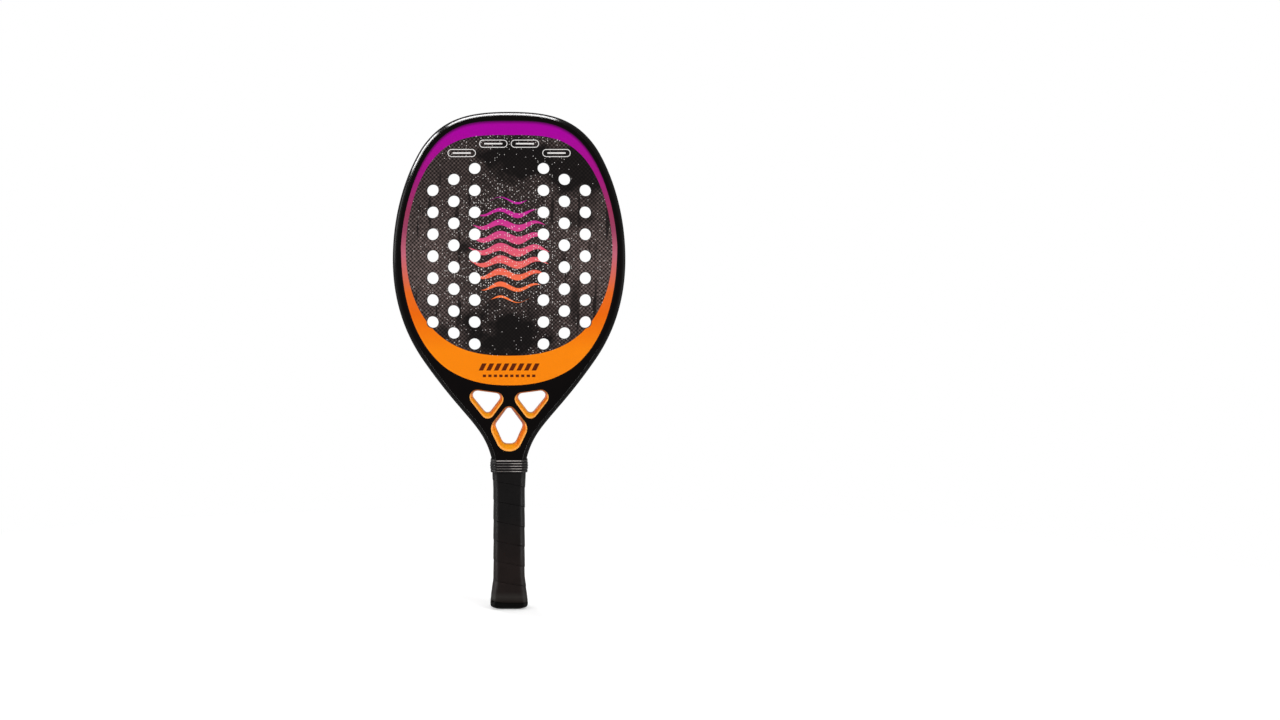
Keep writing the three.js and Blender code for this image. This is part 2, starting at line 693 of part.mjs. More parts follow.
function finishingBand() {
  return legSleeve(BOND + BAND_THICKNESS, BAND_BOTTOM_HEIGHT, BAND_TOP_HEIGHT)
    .subtract(legSleeve(BOND, BAND_BOTTOM_HEIGHT - OVERRUN, BAND_TOP_HEIGHT + OVERRUN));
}

// Rubber sleeve rolled over the top of the grip, ribbed outside.
function collar() {
  const top = NECK_HEIGHT;
  const bottom = PALLET_TOP_HEIGHT - COLLAR_OVER_TAPE;
  const overTape = inset(gripSeat(bottom), -WRAP);
  const overLegs = legSection(top);
  const outsideAt = (height, groove) => {
    const share = (height - bottom) / (top - bottom);
    const wall = THREE.MathUtils.lerp(COLLAR_WALL, COLLAR_LIP_WALL, share)
      + COLLAR_BULGE * Math.sin(Math.PI * share);
    const between = overTape.map((point, k) => point.clone().lerp(overLegs[k], share));
    return ringAtHeight(inset(between, groove - BOND - wall), height);
  };
  const pitch = (top - bottom + GROOVE_WIDTH) / RIB_COUNT;
  const rings = [];
  for (let rib = 0; rib < RIB_COUNT; rib += 1) {
    const low = bottom + rib * pitch;
    const high = low + pitch - GROOVE_WIDTH;
    if (rib > 0) {
      rings.push(outsideAt(low - GROOVE_WIDTH, GROOVE_DEPTH), outsideAt(low, GROOVE_DEPTH));
    }
    rings.push(outsideAt(low, 0), outsideAt(high, 0));
  }
  const tapeBore = loft([bottom - OVERRUN, BAND_BOTTOM_HEIGHT].map((height) => (
    ringAtHeight(inset(gripSeat(height), -WRAP - BOND), height))));
  const bandBore = legSleeve(
    2 * BOND + BAND_THICKNESS, BAND_BOTTOM_HEIGHT - OVERRUN, BAND_TOP_HEIGHT + BOND);
  const legBore = legSleeve(BOND, BAND_TOP_HEIGHT, top + OVERRUN);
  return loft(rings).subtract(tapeBore).subtract(bandBore).subtract(legBore);
}

// Assembly

const face = FRAME_THICKNESS / 2;
const foamFace = face - SKIN_THICKNESS - BOND;
const gripStrip = gripRings();
console.log(`least gap between turns of the grip: ${leastSeam(gripStrip).toFixed(2)} mm`);

const racket = new THREE.Group();
racket.add(
  toMesh('frame_tube', frameTube(), materials.lacquer),
  toMesh('eva_core', faceLayer(-foamFace, foamFace), materials.foam),
  toMesh('face_skin_front', faceLayer(-face, SKIN_THICKNESS - face), materials.carbon),
  toMesh('face_skin_rear', faceLayer(face - SKIN_THICKNESS, face), materials.carbon),
  toMesh('throat_core', throatLayer(-foamFace, foamFace), materials.foam),
  toMesh('throat_skin_front', throatLayer(-face, SKIN_THICKNESS - face), materials.lacquer),
  toMesh('throat_skin_rear', throatLayer(face - SKIN_THICKNESS, face), materials.lacquer),
  toMesh('tube_plug_left', tubePlug(-1), materials.foam),
  toMesh('tube_plug_right', tubePlug(1), materials.foam),
  toMesh('handle_core', handleCore(), materials.foam),
  toMesh('handle_pallet_front', handlePallet(-1), materials.pallet),
  toMesh('handle_pallet_rear', handlePallet(1), materials.pallet),
  toMesh('butt_cap', buttCap(), materials.cap),
  toMesh('base_grip', loft(gripStrip), materials.grip),
  toMesh('finishing_band', finishingBand(), materials.rubber),
  toMesh('grip_collar', collar(), materials.rubber),
);
for (const [place, cutout] of Object.entries(windows)) {
  racket.add(toMesh(`window_liner_${place}`, windowLiner(cutout), materials.liner));
}
staplePlaces.forEach((place, k) => {
  racket.add(toMesh(`butt_staple_${k + 1}`, staple(place, 0, 0), materials.steel));
});
racket.position.z = -HOLD_HEIGHT;

export default racket;
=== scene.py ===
import math
from functools import partialmethod

import bmesh
import bpy
from mathutils import Matrix, Vector
from mathutils.geometry import tessellate_polygon


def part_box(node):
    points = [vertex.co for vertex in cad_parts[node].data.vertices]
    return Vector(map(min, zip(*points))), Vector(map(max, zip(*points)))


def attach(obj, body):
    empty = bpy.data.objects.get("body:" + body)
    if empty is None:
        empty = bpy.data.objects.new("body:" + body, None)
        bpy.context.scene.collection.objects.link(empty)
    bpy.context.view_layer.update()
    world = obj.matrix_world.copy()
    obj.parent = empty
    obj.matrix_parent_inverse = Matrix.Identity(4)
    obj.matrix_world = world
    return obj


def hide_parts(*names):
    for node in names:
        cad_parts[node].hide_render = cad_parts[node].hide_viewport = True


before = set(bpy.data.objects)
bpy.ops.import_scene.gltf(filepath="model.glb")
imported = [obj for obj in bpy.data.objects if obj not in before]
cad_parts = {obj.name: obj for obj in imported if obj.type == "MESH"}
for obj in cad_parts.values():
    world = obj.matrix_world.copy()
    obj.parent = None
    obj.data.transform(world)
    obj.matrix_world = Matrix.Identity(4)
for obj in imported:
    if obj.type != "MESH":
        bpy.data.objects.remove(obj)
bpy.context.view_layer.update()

# Frame tube. A hollow carbon laminate runs in one piece round the head, and its two ends go
# down into the handle as legs. It is moulded round a bladder with a bevel along both outer
# edges, then sprayed gloss black and clear-coated.

tube_low, tube_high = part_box("frame_tube")
HEAD_HALF_WIDTH = tube_high[0]
HALF_THICKNESS = tube_high[1]
TIP_HEIGHT = tube_high[2]
FOOT_HEIGHT = tube_low[2]
WIDEST_HEIGHT = 0.2765
NECK_HEIGHT = 0.0753
NECK_HALF_WIDTH = 0.0176
LEG_HALF_SPAN = 0.0113
LEG_HALF_THICKNESS = 0.009
LEG_STRAIGHT_HEIGHT = 0.047
LEG_TAPER_TOP = 0.0717
LEG_TAPER_BOTTOM = 0.062
TUBE_DEPTH = 0.0082
TUBE_WALL = 0.0012
RIM_SHARE = 0.5
RIM_RADIUS = 0.0016
BEVEL_DEPTH = 0.0043
BEVEL_CROWN = 0.00035
BEVEL_RADIUS = 0.017
CREASE_RADIUS = 0.0009
EDGE_STEPS = 56
CORNER_STEPS = 6
CREASE_ANGLE = 35

# Outline shares, as [across, up]: of the half width and the crown's height above the widest
# place, of the way up from the neck below it, and of the legs' spread below the neck.
CROWN_SHARES = [(0, 1), (0.337, 1), (0.566, 0.962), (0.743, 0.763)]
SHOULDER_SHARES = [(0.743, 0.763), (0.772, 0.731), (1, 0.448), (1, 0)]
FLANK_SHARES = [(1, 1), (1, 0.723), (0.779, 0.555), (0.673, 0.481)]
THROAT_SHARES = [(0.673, 0.481), (0.277, 0.2025), (0.08, 0.167), (0, 0)]
LEG_SHARES = [(1, 1), (0.508, 0.538), (0, 0.327), (0, 0)]


def mix(a, b, share):
    return a + (b - a) * share


def racket_edge():
    """Right half of the outline from the tip down to the leg's foot: places and inward headings."""
    head = (0, HEAD_HALF_WIDTH, WIDEST_HEIGHT, TIP_HEIGHT)
    throat = (NECK_HALF_WIDTH, HEAD_HALF_WIDTH, NECK_HEIGHT, WIDEST_HEIGHT)
    legs = (LEG_HALF_SPAN, NECK_HALF_WIDTH, LEG_STRAIGHT_HEIGHT, NECK_HEIGHT)
    stretches = [
        (CROWN_SHARES, head), (SHOULDER_SHARES, head), (FLANK_SHARES, throat),
        (THROAT_SHARES, throat), (LEG_SHARES, legs)]
    edge = []
    for shares, (near, far, low, high) in stretches:
        a, b, c, d = [Vector((mix(near, far, x), mix(low, high, z))) for x, z in shares]
        for step in range(1 if edge else 0, EDGE_STEPS + 1):
            t = step / EDGE_STEPS
            place = a * (1 - t) ** 3 + b * 3 * t * (1 - t) ** 2 + c * 3 * t * t * (1 - t) + d * t**3
            along = (b - a) * (1 - t) ** 2 + (c - b) * 2 * t * (1 - t) + (d - c) * t * t
            along.normalize()
            edge.append((place, Vector((along.y, -along.x))))
    edge[0] = (edge[0][0], Vector((0, -1)))
    edge.append((Vector((LEG_HALF_SPAN, FOOT_HEIGHT)), Vector((-1, 0))))
    return edge


def inset(points, distance):
    """Moves each side of a convex anticlockwise outline inwards."""
    count = len(points)
    normals = []
    for k, point in enumerate(points):
        side = (points[(k + 1) % count] - point).normalized()
        normals.append(Vector((side.y, -side.x)))
    moved = []
    for k, point in enumerate(points):
        total = normals[k - 1] + normals[k]
        moved.append(point - total * (distance / (1 + normals[k - 1].dot(normals[k]))))
    return moved


def round_corners(corners, radii, steps):
    """An arc in place of each corner, held back where the sides are too short."""
    count = len(corners)
    points = []
    for k, corner in enumerate(corners):
        before = corners[k - 1] - corner
        after = corners[(k + 1) % count] - corner
        room = min(before.length, after.length) / 2
        before.normalize()
        after.normalize()
        half = math.acos(max(-1, min(1, before.dot(after)))) / 2
        radius = min(radii[k], room * math.tan(half))
        inwards = (before + after).normalized()
        centre = corner + inwards * (radius / math.sin(half))
        middle = math.atan2(-inwards.y, -inwards.x)
        sweep = math.pi / 2 - half
        for step in range(steps + 1):
            angle = middle + sweep * (2 * step / steps - 1)
            points.append(centre + Vector((math.cos(angle), math.sin(angle))) * radius)
    return points


def part_way(value, start, end):
    """How far a value has come from a start to an end, held between nought and one."""
    return max(0, min(1, (value - start) / (end - start)))


def half_thickness(height):
    rise = part_way(height, LEG_TAPER_BOTTOM, LEG_TAPER_TOP)
    return mix(LEG_HALF_THICKNESS, HALF_THICKNESS, rise)


def tube_section(height, wall):
    """The tube cut across, as (inwards, front to rear), with a softly crowned bevel."""
    half = half_thickness(height)
    rim = RIM_SHARE * half
    crown = Vector((BEVEL_DEPTH / 2, (rim + half) / 2))
    crown += Vector((-(half - rim), BEVEL_DEPTH)).normalized() * BEVEL_CROWN
    corners = [
        (0, -rim, RIM_RADIUS), (crown.x, -crown.y, BEVEL_RADIUS), (BEVEL_DEPTH, -half, CREASE_RADIUS),
        (TUBE_DEPTH, -half, 0)]
    corners += [(x, -y, radius) for x, y, radius in reversed(corners)]
    outline = inset([Vector(corner[:2]) for corner in corners], wall)
    return round_corners(outline, [corner[2] for corner in corners], CORNER_STEPS)


def in_scene(name, data):
    item = bpy.data.objects.new(name, data)
    bpy.context.scene.collection.objects.link(item)
    return item


def put_together(name, points, faces, finish, crease_angle=CREASE_ANGLE):
    """A mesh piece with its faces turned outwards, smooth but for edges past the crease angle."""
    mesh = bpy.data.meshes.new(name)
    mesh.from_pydata([tuple(point) for point in points], [], faces)
    shape = bmesh.new()
    shape.from_mesh(mesh)
    bmesh.ops.recalc_face_normals(shape, faces=shape.faces)
    shape.to_mesh(mesh)
    shape.free()
    mesh.materials.append(finish)
    mesh.shade_smooth()
    mesh.set_sharp_from_angle(angle=math.radians(crease_angle))
    return in_scene(name, mesh)


def skin_over(rings, closed=False):
    """Points and faces of a surface through rings of one length, capped at both ends or closed."""
    count = len(rings[0])
    points = [point for ring in rings for point in ring]
    faces = []
    for ring in range(len(rings) if closed else len(rings) - 1):
        low, high = ring * count, (ring + 1) % len(rings) * count
        for k in range(count):
            after = (k + 1) % count
            faces.append((low + k, low + after, high + after, high + k))
    if not closed:
        faces.append(tuple(range(count)))
        faces.append(tuple(range(len(points) - count, len(points))))
    return points, faces


class Wire:
    """A value in a node tree. Arithmetic adds the Math nodes for it, and | takes the larger."""

    def __init__(self, socket):
        self.socket = socket
        self.tree = socket.id_data

    def math(self, operation, *others):
        return work_out(self.tree, operation, self, *others)

    __add__ = partialmethod(math, "ADD")
    __sub__ = partialmethod(math, "SUBTRACT")
    __mul__ = partialmethod(math, "MULTIPLY")
    __truediv__ = partialmethod(math, "DIVIDE")
    __mod__ = partialmethod(math, "FLOORED_MODULO")
    __pow__ = partialmethod(math, "POWER")
    __lt__ = partialmethod(math, "LESS_THAN")
    __gt__ = partialmethod(math, "GREATER_THAN")
    __or__ = partialmethod(math, "MAXIMUM")
    __abs__ = partialmethod(math, "ABSOLUTE")

    def __rsub__(self, other):
        return work_out(self.tree, "SUBTRACT", other, self)

    def ramp(self, low, high, start=0.0, end=1.0, **settings):
        """Runs from start to end while this value runs from low to high."""
        return add(self.tree, "ShaderNodeMapRange", {
            "Value": self, "From Min": low, "From Max": high, "To Min": start, "To Max": end},
            **settings)[0]

    def blend(self, a, b):
        """The first colour where this value is nought and the second where it is one."""
        a, b = [paint(colour) if isinstance(colour, str) else colour for colour in (a, b)]
        return add(self.tree, "ShaderNodeMix", {0: self, 6: a, 7: b}, data_type="RGBA")[2]

    def parts(self):
        """The three parts of a place or a direction."""
        split = add(self.tree, "ShaderNodeSeparateXYZ", {0: self})
        return split["X"], split["Y"], split["Z"]


class Outputs:
    """A node, whose outputs are read as wires."""

    def __init__(self, node):
        self.node = node

    def __getitem__(self, key):
        return Wire(self.node.outputs[key])


def add(tree, kind, inputs=None, **settings):
    """Adds a node. Its inputs take wires or plain values."""
    node = tree.nodes.new(kind)
    for key, value in settings.items():
        setattr(node, key, value)
    for key, value in (inputs or {}).items():
        if isinstance(value, Wire):
            tree.links.new(value.socket, node.inputs[key])
        else:
            node.inputs[key].default_value = value
    return Outputs(node)


def work_out(tree, operation, *values):
    return add(tree, "ShaderNodeMath", dict(enumerate(values)), operation=operation)[0]


def paint(code):
    """Linear colour of a paint chip written as six hex digits."""
    channels = [int(code[k:k + 2], 16) / 255 for k in (0, 2, 4)]
    linear = [c / 12.92 if c <= 0.04045 else ((c + 0.055) / 1.055) ** 2.4 for c in channels]
    return (*linear, 1)


def new_finish(name, **shader_inputs):
    """A material and its object coordinates. Plain values go on the sockets of its shader."""
    finish = bpy.data.materials.new(name)
    finish.use_nodes = True
    sockets = finish.node_tree.nodes["Principled BSDF"].inputs
    for key, value in shader_inputs.items():
        sockets[key.replace("_", " ")].default_value = value
    return finish, add(finish.node_tree, "ShaderNodeTexCoord")["Object"]


def noise(place, cell, detail=2.0, scale=None):
    """Noise whose blotches are about as wide as the cell, longer where a scale is under one."""
    if scale:
        place = add(place.tree, "ShaderNodeMapping", {"Vector": place, "Scale": scale})[0]
    return add(place.tree, "ShaderNodeTexNoise", {
        "Vector": place, "Scale": 1 / cell, "Detail": detail})["Fac"]


def surface(finish, colour, level, smooth, rough, relief, depth):
    """Gives a finish its colour, a roughness that follows a level, and a relief of a given depth."""
    tree = finish.node_tree
    bump = add(tree, "ShaderNodeBump", {"Height": relief, "Strength": 1.0, "Distance": depth})[0]
    roughness = level.ramp(0.0, 1.0, smooth, rough)
    for socket, wire in (("Base Color", colour), ("Roughness", roughness), ("Normal", bump)):
        tree.links.new(wire.socket, tree.nodes["Principled BSDF"].inputs[socket])
    return finish


def gloss_black_lacquer():
    """Black spray lacquer with a faint orange peel and a little haze."""
    finish, place = new_finish("gloss_black_lacquer", Specular_IOR_Level=0.035)
    haze = noise(place, cell=0.03, detail=4.0)
    return surface(finish, haze.blend("040303", "0b0707"), haze, smooth=0.1, rough=0.2,
                   relief=noise(place, cell=0.0022), depth=0.000006)


lacquer = gloss_black_lacquer()
right_edge = racket_edge()


def tube_run(wall):
    rings = []
    for side, places in ((1, reversed(right_edge[1:])), (-1, right_edge)):
        for place, inwards in places:
            rings.append([
                Vector((side * (place.x + point.x * inwards.x), point.y, place.y + point.x * inwards.y))
                for point in tube_section(place.y, wall)])
    return rings


shell = skin_over(tube_run(0) + tube_run(TUBE_WALL)[::-1], closed=True)
tube = put_together("frame_tube_lacquered", *shell, lacquer)
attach(tube, "root")
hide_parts("frame_tube")

# Foam of the legs and the handle. Two plugs close the tube's open feet, and a bar of the same
# black foam fills the space between the legs. All three are cut to size and glued in.

FOAM_CELL = 0.0007


def black_foam():
    """Closed-cell foam: soft black with small open cells on its cut faces."""
    finish, place = new_finish("black_foam", Specular_IOR_Level=0.1)
    cells = add(place.tree, "ShaderNodeTexVoronoi", {"Vector": place, "Scale": 1 / FOAM_CELL})
    tone = noise(place, cell=0.01)
    return surface(finish, tone.blend("19181a", "29282b"), tone, smooth=0.8, rough=0.95,
                   relief=cells["Distance"], depth=0.0002)


def dress(finish, *names):
    """Gives CAD nodes that stay as they are their finish."""
    for name in names:
        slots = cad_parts[name].data.materials
        slots.clear()
        slots.append(finish)


foam = black_foam()
dress(foam, "tube_plug_left", "tube_plug_right", "handle_core", "throat_core")

# Hitting face. A slab of foam is bonded between two thin carbon skins inside the frame, and
# the whole sandwich is drilled through in staggered columns. The skins are printed with a
# coloured ring round the edge, sprayed with grit for spin, and left satin.

SKIN_THICKNESS = 0.0008
BOND = 0.0003
FACE_SEAM = 0.00005
FACE_BOTTOM = 0.1499
FACE_HALF_WIDTH = HEAD_HALF_WIDTH - TUBE_DEPTH - BOND
BOWL_SPREAD = 0.0005
BOWL_EXPONENT = 2.3
BOWL_STEPS = 120

DRILLING = {
    "Hole radius": 0.006, "Hole chamfer": 0.00025, "Half thickness": HALF_THICKNESS,
    "Row pitch": 0.02215, "Column spacing": 0.0211, "First column": 0.0347,
    "Field height": 0.27959, "Rows": 9, "Columns": 3, "Sides": 32,
}

# Printed areas: the coloured ring lies between two ovals, dark carbon inside it and black round
# it. An oval has a middle height, a half width, a rise and a drop, and for its top and its
# bottom half the exponents across and up.
RING_OUTSIDE = (0.2927, 0.1086, 0.1229, 0.1429, (3.42, 1.51), (2.54, 2.26))
RING_INSIDE = (0.2887, 0.1038, 0.1126, 0.1091, (3.52, 1.70), (2.53, 2.20))
RING_FADE = 0.0035
RING_FADE_HEIGHTS = (0.34, 0.38)
RING_FADE_STRENGTH = 0.85
RING_GRAIN = 0.12
RING_COLOURS = [
    (0.185, "fc8802"), (0.221, "ee6a02"), (0.243, "e86a1e"), (0.281, "c26678"),
    (0.306, "994160"), (0.326, "983558"), (0.360, "a0127c"), (0.404, "a6009c"),
]
INK_SOFTNESS = 0.0001
TOW_WIDTH = 0.002
TOW_ROUNDNESS = 0.15
TOW_LEAST = 0.65
TOW_CHANCE = 0.5
WEAVE_RELIEF = 0.25
GRIT_CELL = 0.0024
GRIT_RADIUS = 0.0005
GRIT_SPREAD = (0.03, 0.075)
GRIT_AMOUNT = (0.62, 0.12)
GRIT_CLOUDING = 1.6
GRIT_SHADING = 0.85
GRIT_STRENGTH = 0.95
GRIT_LEAST = 0.6
GRIT_DULLNESS = 0.6

# Shades of the carbon: the light band's height and reach, streaks, and dark patches, each with
# its place, half width, half height and strength.
LIGHT_BAND = (0.272, 0.052)
BAND_DARKNESS = 0.55
STREAK_SLOWNESS = 0.12
STREAK_EDGE = (0.58, 0.66)
STREAK_DARKNESS = 0.85
MIDDLE_DARKNESS = 0.6
PATCH_DRIFT = 1.6
PATCH_EDGE = (0.45, 1.15)
DARK_PATCHES = [
    (0.006, 0.378, 0.056, 0.036, 0.97), (0.068, 0.366, 0.056, 0.042, 0.95),
    (-0.003, 0.200, 0.057, 0.044, 0.97), (-0.047, 0.289, 0.016, 0.011, 0.85),
    (0.071, 0.318, 0.022, 0.013, 0.7), (0.0, 0.401, 0.085, 0.012, 0.6),
    (0.066, 0.232, 0.007, 0.036, 0.75), (-0.066, 0.202, 0.014, 0.014, 0.8),
]
WAVE_CENTRE = 0.286
WAVE_HALF_WIDTH = 0.041
WAVE_HALF_HEIGHT = 0.056
WAVE_PITCH = 0.0125
WAVE_THICKNESS = 0.0042
WAVE_SWING = 0.003
WAVE_LENGTH = 0.036
WAVE_COLOURS = [
    (0.232, "ff7a33"), (0.262, "ee6a50"), (0.288, "dd5676"), (0.315, "c7308c"), (0.340, "b4209a")]
PILL_PLACES = [(0.0159, 0.3926), (0.0476, 0.3832)]
PILL_HALF_LENGTH = 0.0138
PILL_RADIUS = 0.0036
PILL_LINE = 0.00035

# The two rows of dashes: middle height, half height, half span, pitch and slope.
DASH_ROW = (0.1683, 0.0036, 0.0304, 0.0076, 0.5)
RULE_ROW = (0.1594, 0.0013, 0.0275, 0.0055, 0.0)
DASH_SHARE = 0.3


def edge_inside(distance):
    """The right half of the outline moved inwards, as points from the tip down."""
    points = [place + inwards * distance for place, inwards in right_edge]
    points[0].x = 0
    return points


def width_at(points, height):
    """Half width at a height, from points that run downwards."""
    for above, below in zip(points, points[1:]):
        if above.y >= height >= below.y and above.y > below.y:
            return mix(below.x, above.x, (height - below.y) / (above.y - below.y))
    return points[-1].x


def bowl_edge(growth):
    """The face's lower edge on the right, from the bottom up to where it meets the tube."""
    across = FACE_HALF_WIDTH + BOWL_SPREAD + growth
    down = WIDEST_HEIGHT - FACE_BOTTOM + growth
    panel = edge_inside(TUBE_DEPTH + FACE_SEAM)
    points = []
    for step in range(BOWL_STEPS):
        angle = math.pi / 2 * (1 - step / BOWL_STEPS)
        x = across * max(math.cos(angle), 0) ** (2 / BOWL_EXPONENT)
        z = WIDEST_HEIGHT - down * math.sin(angle) ** (2 / BOWL_EXPONENT)
        if step and x >= width_at(panel, z):
            break
        points.append(Vector((x, z)))
    points[0].x = 0
    return points


def mirrored(right):
    """A closed outline from its right half, whose first and last points lie in the middle."""
    return right + [Vector((-point.x, point.y)) for point in reversed(right[1:-1])]


def rim_between(low, high):
    """The panel's edge on the right, going up, between two heights."""
    return [point for point in edge_inside(TUBE_DEPTH + FACE_SEAM)[::-1] if low < point.y < high]


def face_outline():
    bowl = bowl_edge(0)
    return mirrored(bowl + rim_between(bowl[-1].y, math.inf))


def plate(name, loops, front, rear, finish):
    """A flat plate between two depths, from an outline and the outlines of its cut-outs."""
    flat = [point for loop in loops for point in loop]
    count = len(flat)
    triangles = tessellate_polygon([[(point.x, point.y, 0) for point in loop] for loop in loops])
    points = [Vector((p.x, depth, p.y)) for depth in (front, rear) for p in flat]
    faces = [[k + base for k in face] for base in (0, count) for face in triangles]
    start = 0
    for loop in loops:
        for k in range(len(loop)):
            low, after = start + k, start + (k + 1) % len(loop)
            faces.append((low, after, after + count, low + count))
        start += len(loop)
    return put_together(name, points, faces, finish)


def join(x, y, z=0.0):
    return add(x.tree, "ShaderNodeCombineXYZ", {0: x, 1: y, 2: z})[0]


def start_tree(name, values):
    """Geometry Nodes with named inputs for the finish and for values, where whole ones are counts."""
    tree = bpy.data.node_groups.new(name, "GeometryNodeTree")
    tree.is_modifier = True
    tree.interface.new_socket("Geometry", in_out="OUTPUT", socket_type="NodeSocketGeometry")
    kinds = {"Geometry": "Geometry", "Finish": "Material"}
    kinds.update({key: "Int" if isinstance(value, int) else "Float" for key, value in values.items()})
    for socket, kind in kinds.items():
        tree.interface.new_socket(socket, in_out="INPUT", socket_type=f"NodeSocket{kind}")
    return tree, add(tree, "NodeGroupInput")


def end_tree(geometry, given):
    whole = add(geometry.tree, "GeometryNodeRealizeInstances", {0: geometry})[0]
    finished = add(geometry.tree, "GeometryNodeSetMaterial", {
        "Geometry": whole, "Material": given["Finish"]})[0]
    add(geometry.tree, "NodeGroupOutput", {0: finished})
    return geometry.tree


def drilling_tree():
    """Geometry Nodes that drill staggered columns of holes through a plate."""
    tree, given = start_tree("face_drilling", DRILLING)
    index = add(tree, "GeometryNodeInputIndex")[0]
    side = index.math("MODULO", 2.0) * 2.0 - 1.0
    pair = (index / 2.0).math("FLOOR")
    row = pair.math("MODULO", given["Rows"])
    column = (pair / given["Rows"]).math("FLOOR")
    rows_here = given["Rows"] - column
    across = column * given["Column spacing"] + given["First column"]
    up = (row - (rows_here - 1.0) * 0.5) * given["Row pitch"] + given["Field height"]
    spots = add(tree, "GeometryNodePoints", {
        "Count": given["Rows"] * given["Columns"] * 2.0, "Position": join(side * across, 0.0, up)})
    kept = add(tree, "GeometryNodeDeleteGeometry", {
        "Geometry": spots[0], "Selection": row > rows_here - 0.5})

    # The drill is a cylinder in three lengths, and the outer two open out as countersinks.
    deep = (given["Half thickness"] + given["Hole chamfer"]) * 2.0
    bar = add(tree, "GeometryNodeMeshCylinder", {
        "Vertices": given["Sides"], "Side Segments": 3, "Radius": given["Hole radius"],
        "Depth": deep}, fill_type="NGON")
    x, y, z = add(tree, "GeometryNodeInputPosition")[0].parts()
    outer = abs(z) > deep * 0.25
    widened = (given["Hole chamfer"] * 2.0 + given["Hole radius"]) / given["Hole radius"]
    scale = outer * (widened - 1.0) + 1.0
    shank = z.math("SIGN") * (given["Half thickness"] - given["Hole chamfer"])
    height = z * outer + shank * (1.0 - outer)
    drill = add(tree, "GeometryNodeSetPosition", {
        "Geometry": bar["Mesh"], "Position": join(x * scale, y * scale, height)})
    turned = add(tree, "GeometryNodeTransform", {
        "Geometry": drill[0], "Rotation": (math.pi / 2, 0, 0)})
    drills = add(tree, "GeometryNodeInstanceOnPoints", {"Points": kept[0], "Instance": turned[0]})
    loose = add(tree, "GeometryNodeRealizeInstances", {0: drills[0]})
    drilled = add(tree, "GeometryNodeMeshBoolean", {
        "Mesh 1": given["Geometry"], "Mesh 2": loose[0]}, operation="DIFFERENCE", solver="MANIFOLD")
    return end_tree(drilled[0], given)


def shape_with(piece, tree, finish, values):
    """Runs a tree on a piece with named inputs, keeps the result as its mesh and drops the tree."""
    inputs = {"Finish": finish, **values}
    modifier = piece.modifiers.new(tree.name, "NODES")
    modifier.node_group = tree
    for socket in tree.interface.items_tree:
        if socket.in_out == "INPUT" and socket.name in inputs:
            modifier[socket.identifier] = inputs[socket.name]
    evaluated = piece.evaluated_get(bpy.context.evaluated_depsgraph_get())
    mesh = bpy.data.meshes.new_from_object(evaluated)
    piece.modifiers.clear()
    piece.data = mesh
    mesh.name = piece.name
    mesh.shade_smooth()
    mesh.set_sharp_from_angle(angle=math.radians(CREASE_ANGLE))


def length(a, b):
    return (a * a + b * b).math("SQRT")


def within(value, limit):
    """One where a value is under a limit, with a soft edge."""
    return value.ramp(limit - INK_SOFTNESS, limit + INK_SOFTNESS, 1.0, 0.0)


def off_middle(value, pitch):
    """How far a value lies from the middle of its step, in steps of a pitch."""
    return abs((value / pitch).math("FRACT") - 0.5) * pitch


def distance_to_oval(across, height, oval):
    """About how far a point lies outside an oval, or inside where it is negative."""
    middle, half_width, rise, drop, top_exponents, bottom_exponents = oval
    above = height - middle
    upper = above > 0.0
    reach, wide_exponent, tall_exponent = [
        upper * (top - bottom) + bottom
        for top, bottom in zip((rise, *top_exponents), (drop, *bottom_exponents))]
    size = (across / half_width) ** wide_exponent + (abs(above) / reach) ** tall_exponent
    return (size - 1.0) * reach / tall_exponent


def colour_fade(height, stops):
    """A fade through colours at given heights."""
    low, high = stops[0][0], stops[-1][0]
    fade = add(height.tree, "ShaderNodeValToRGB", {0: height.ramp(low, high)})
    elements = fade.node.color_ramp.elements
    while len(elements) < len(stops):
        elements.new(0.5)
    for element, (at, code) in zip(elements, stops):
        element.position = (at - low) / (high - low)
        element.color = paint(code)
    return fade[0]


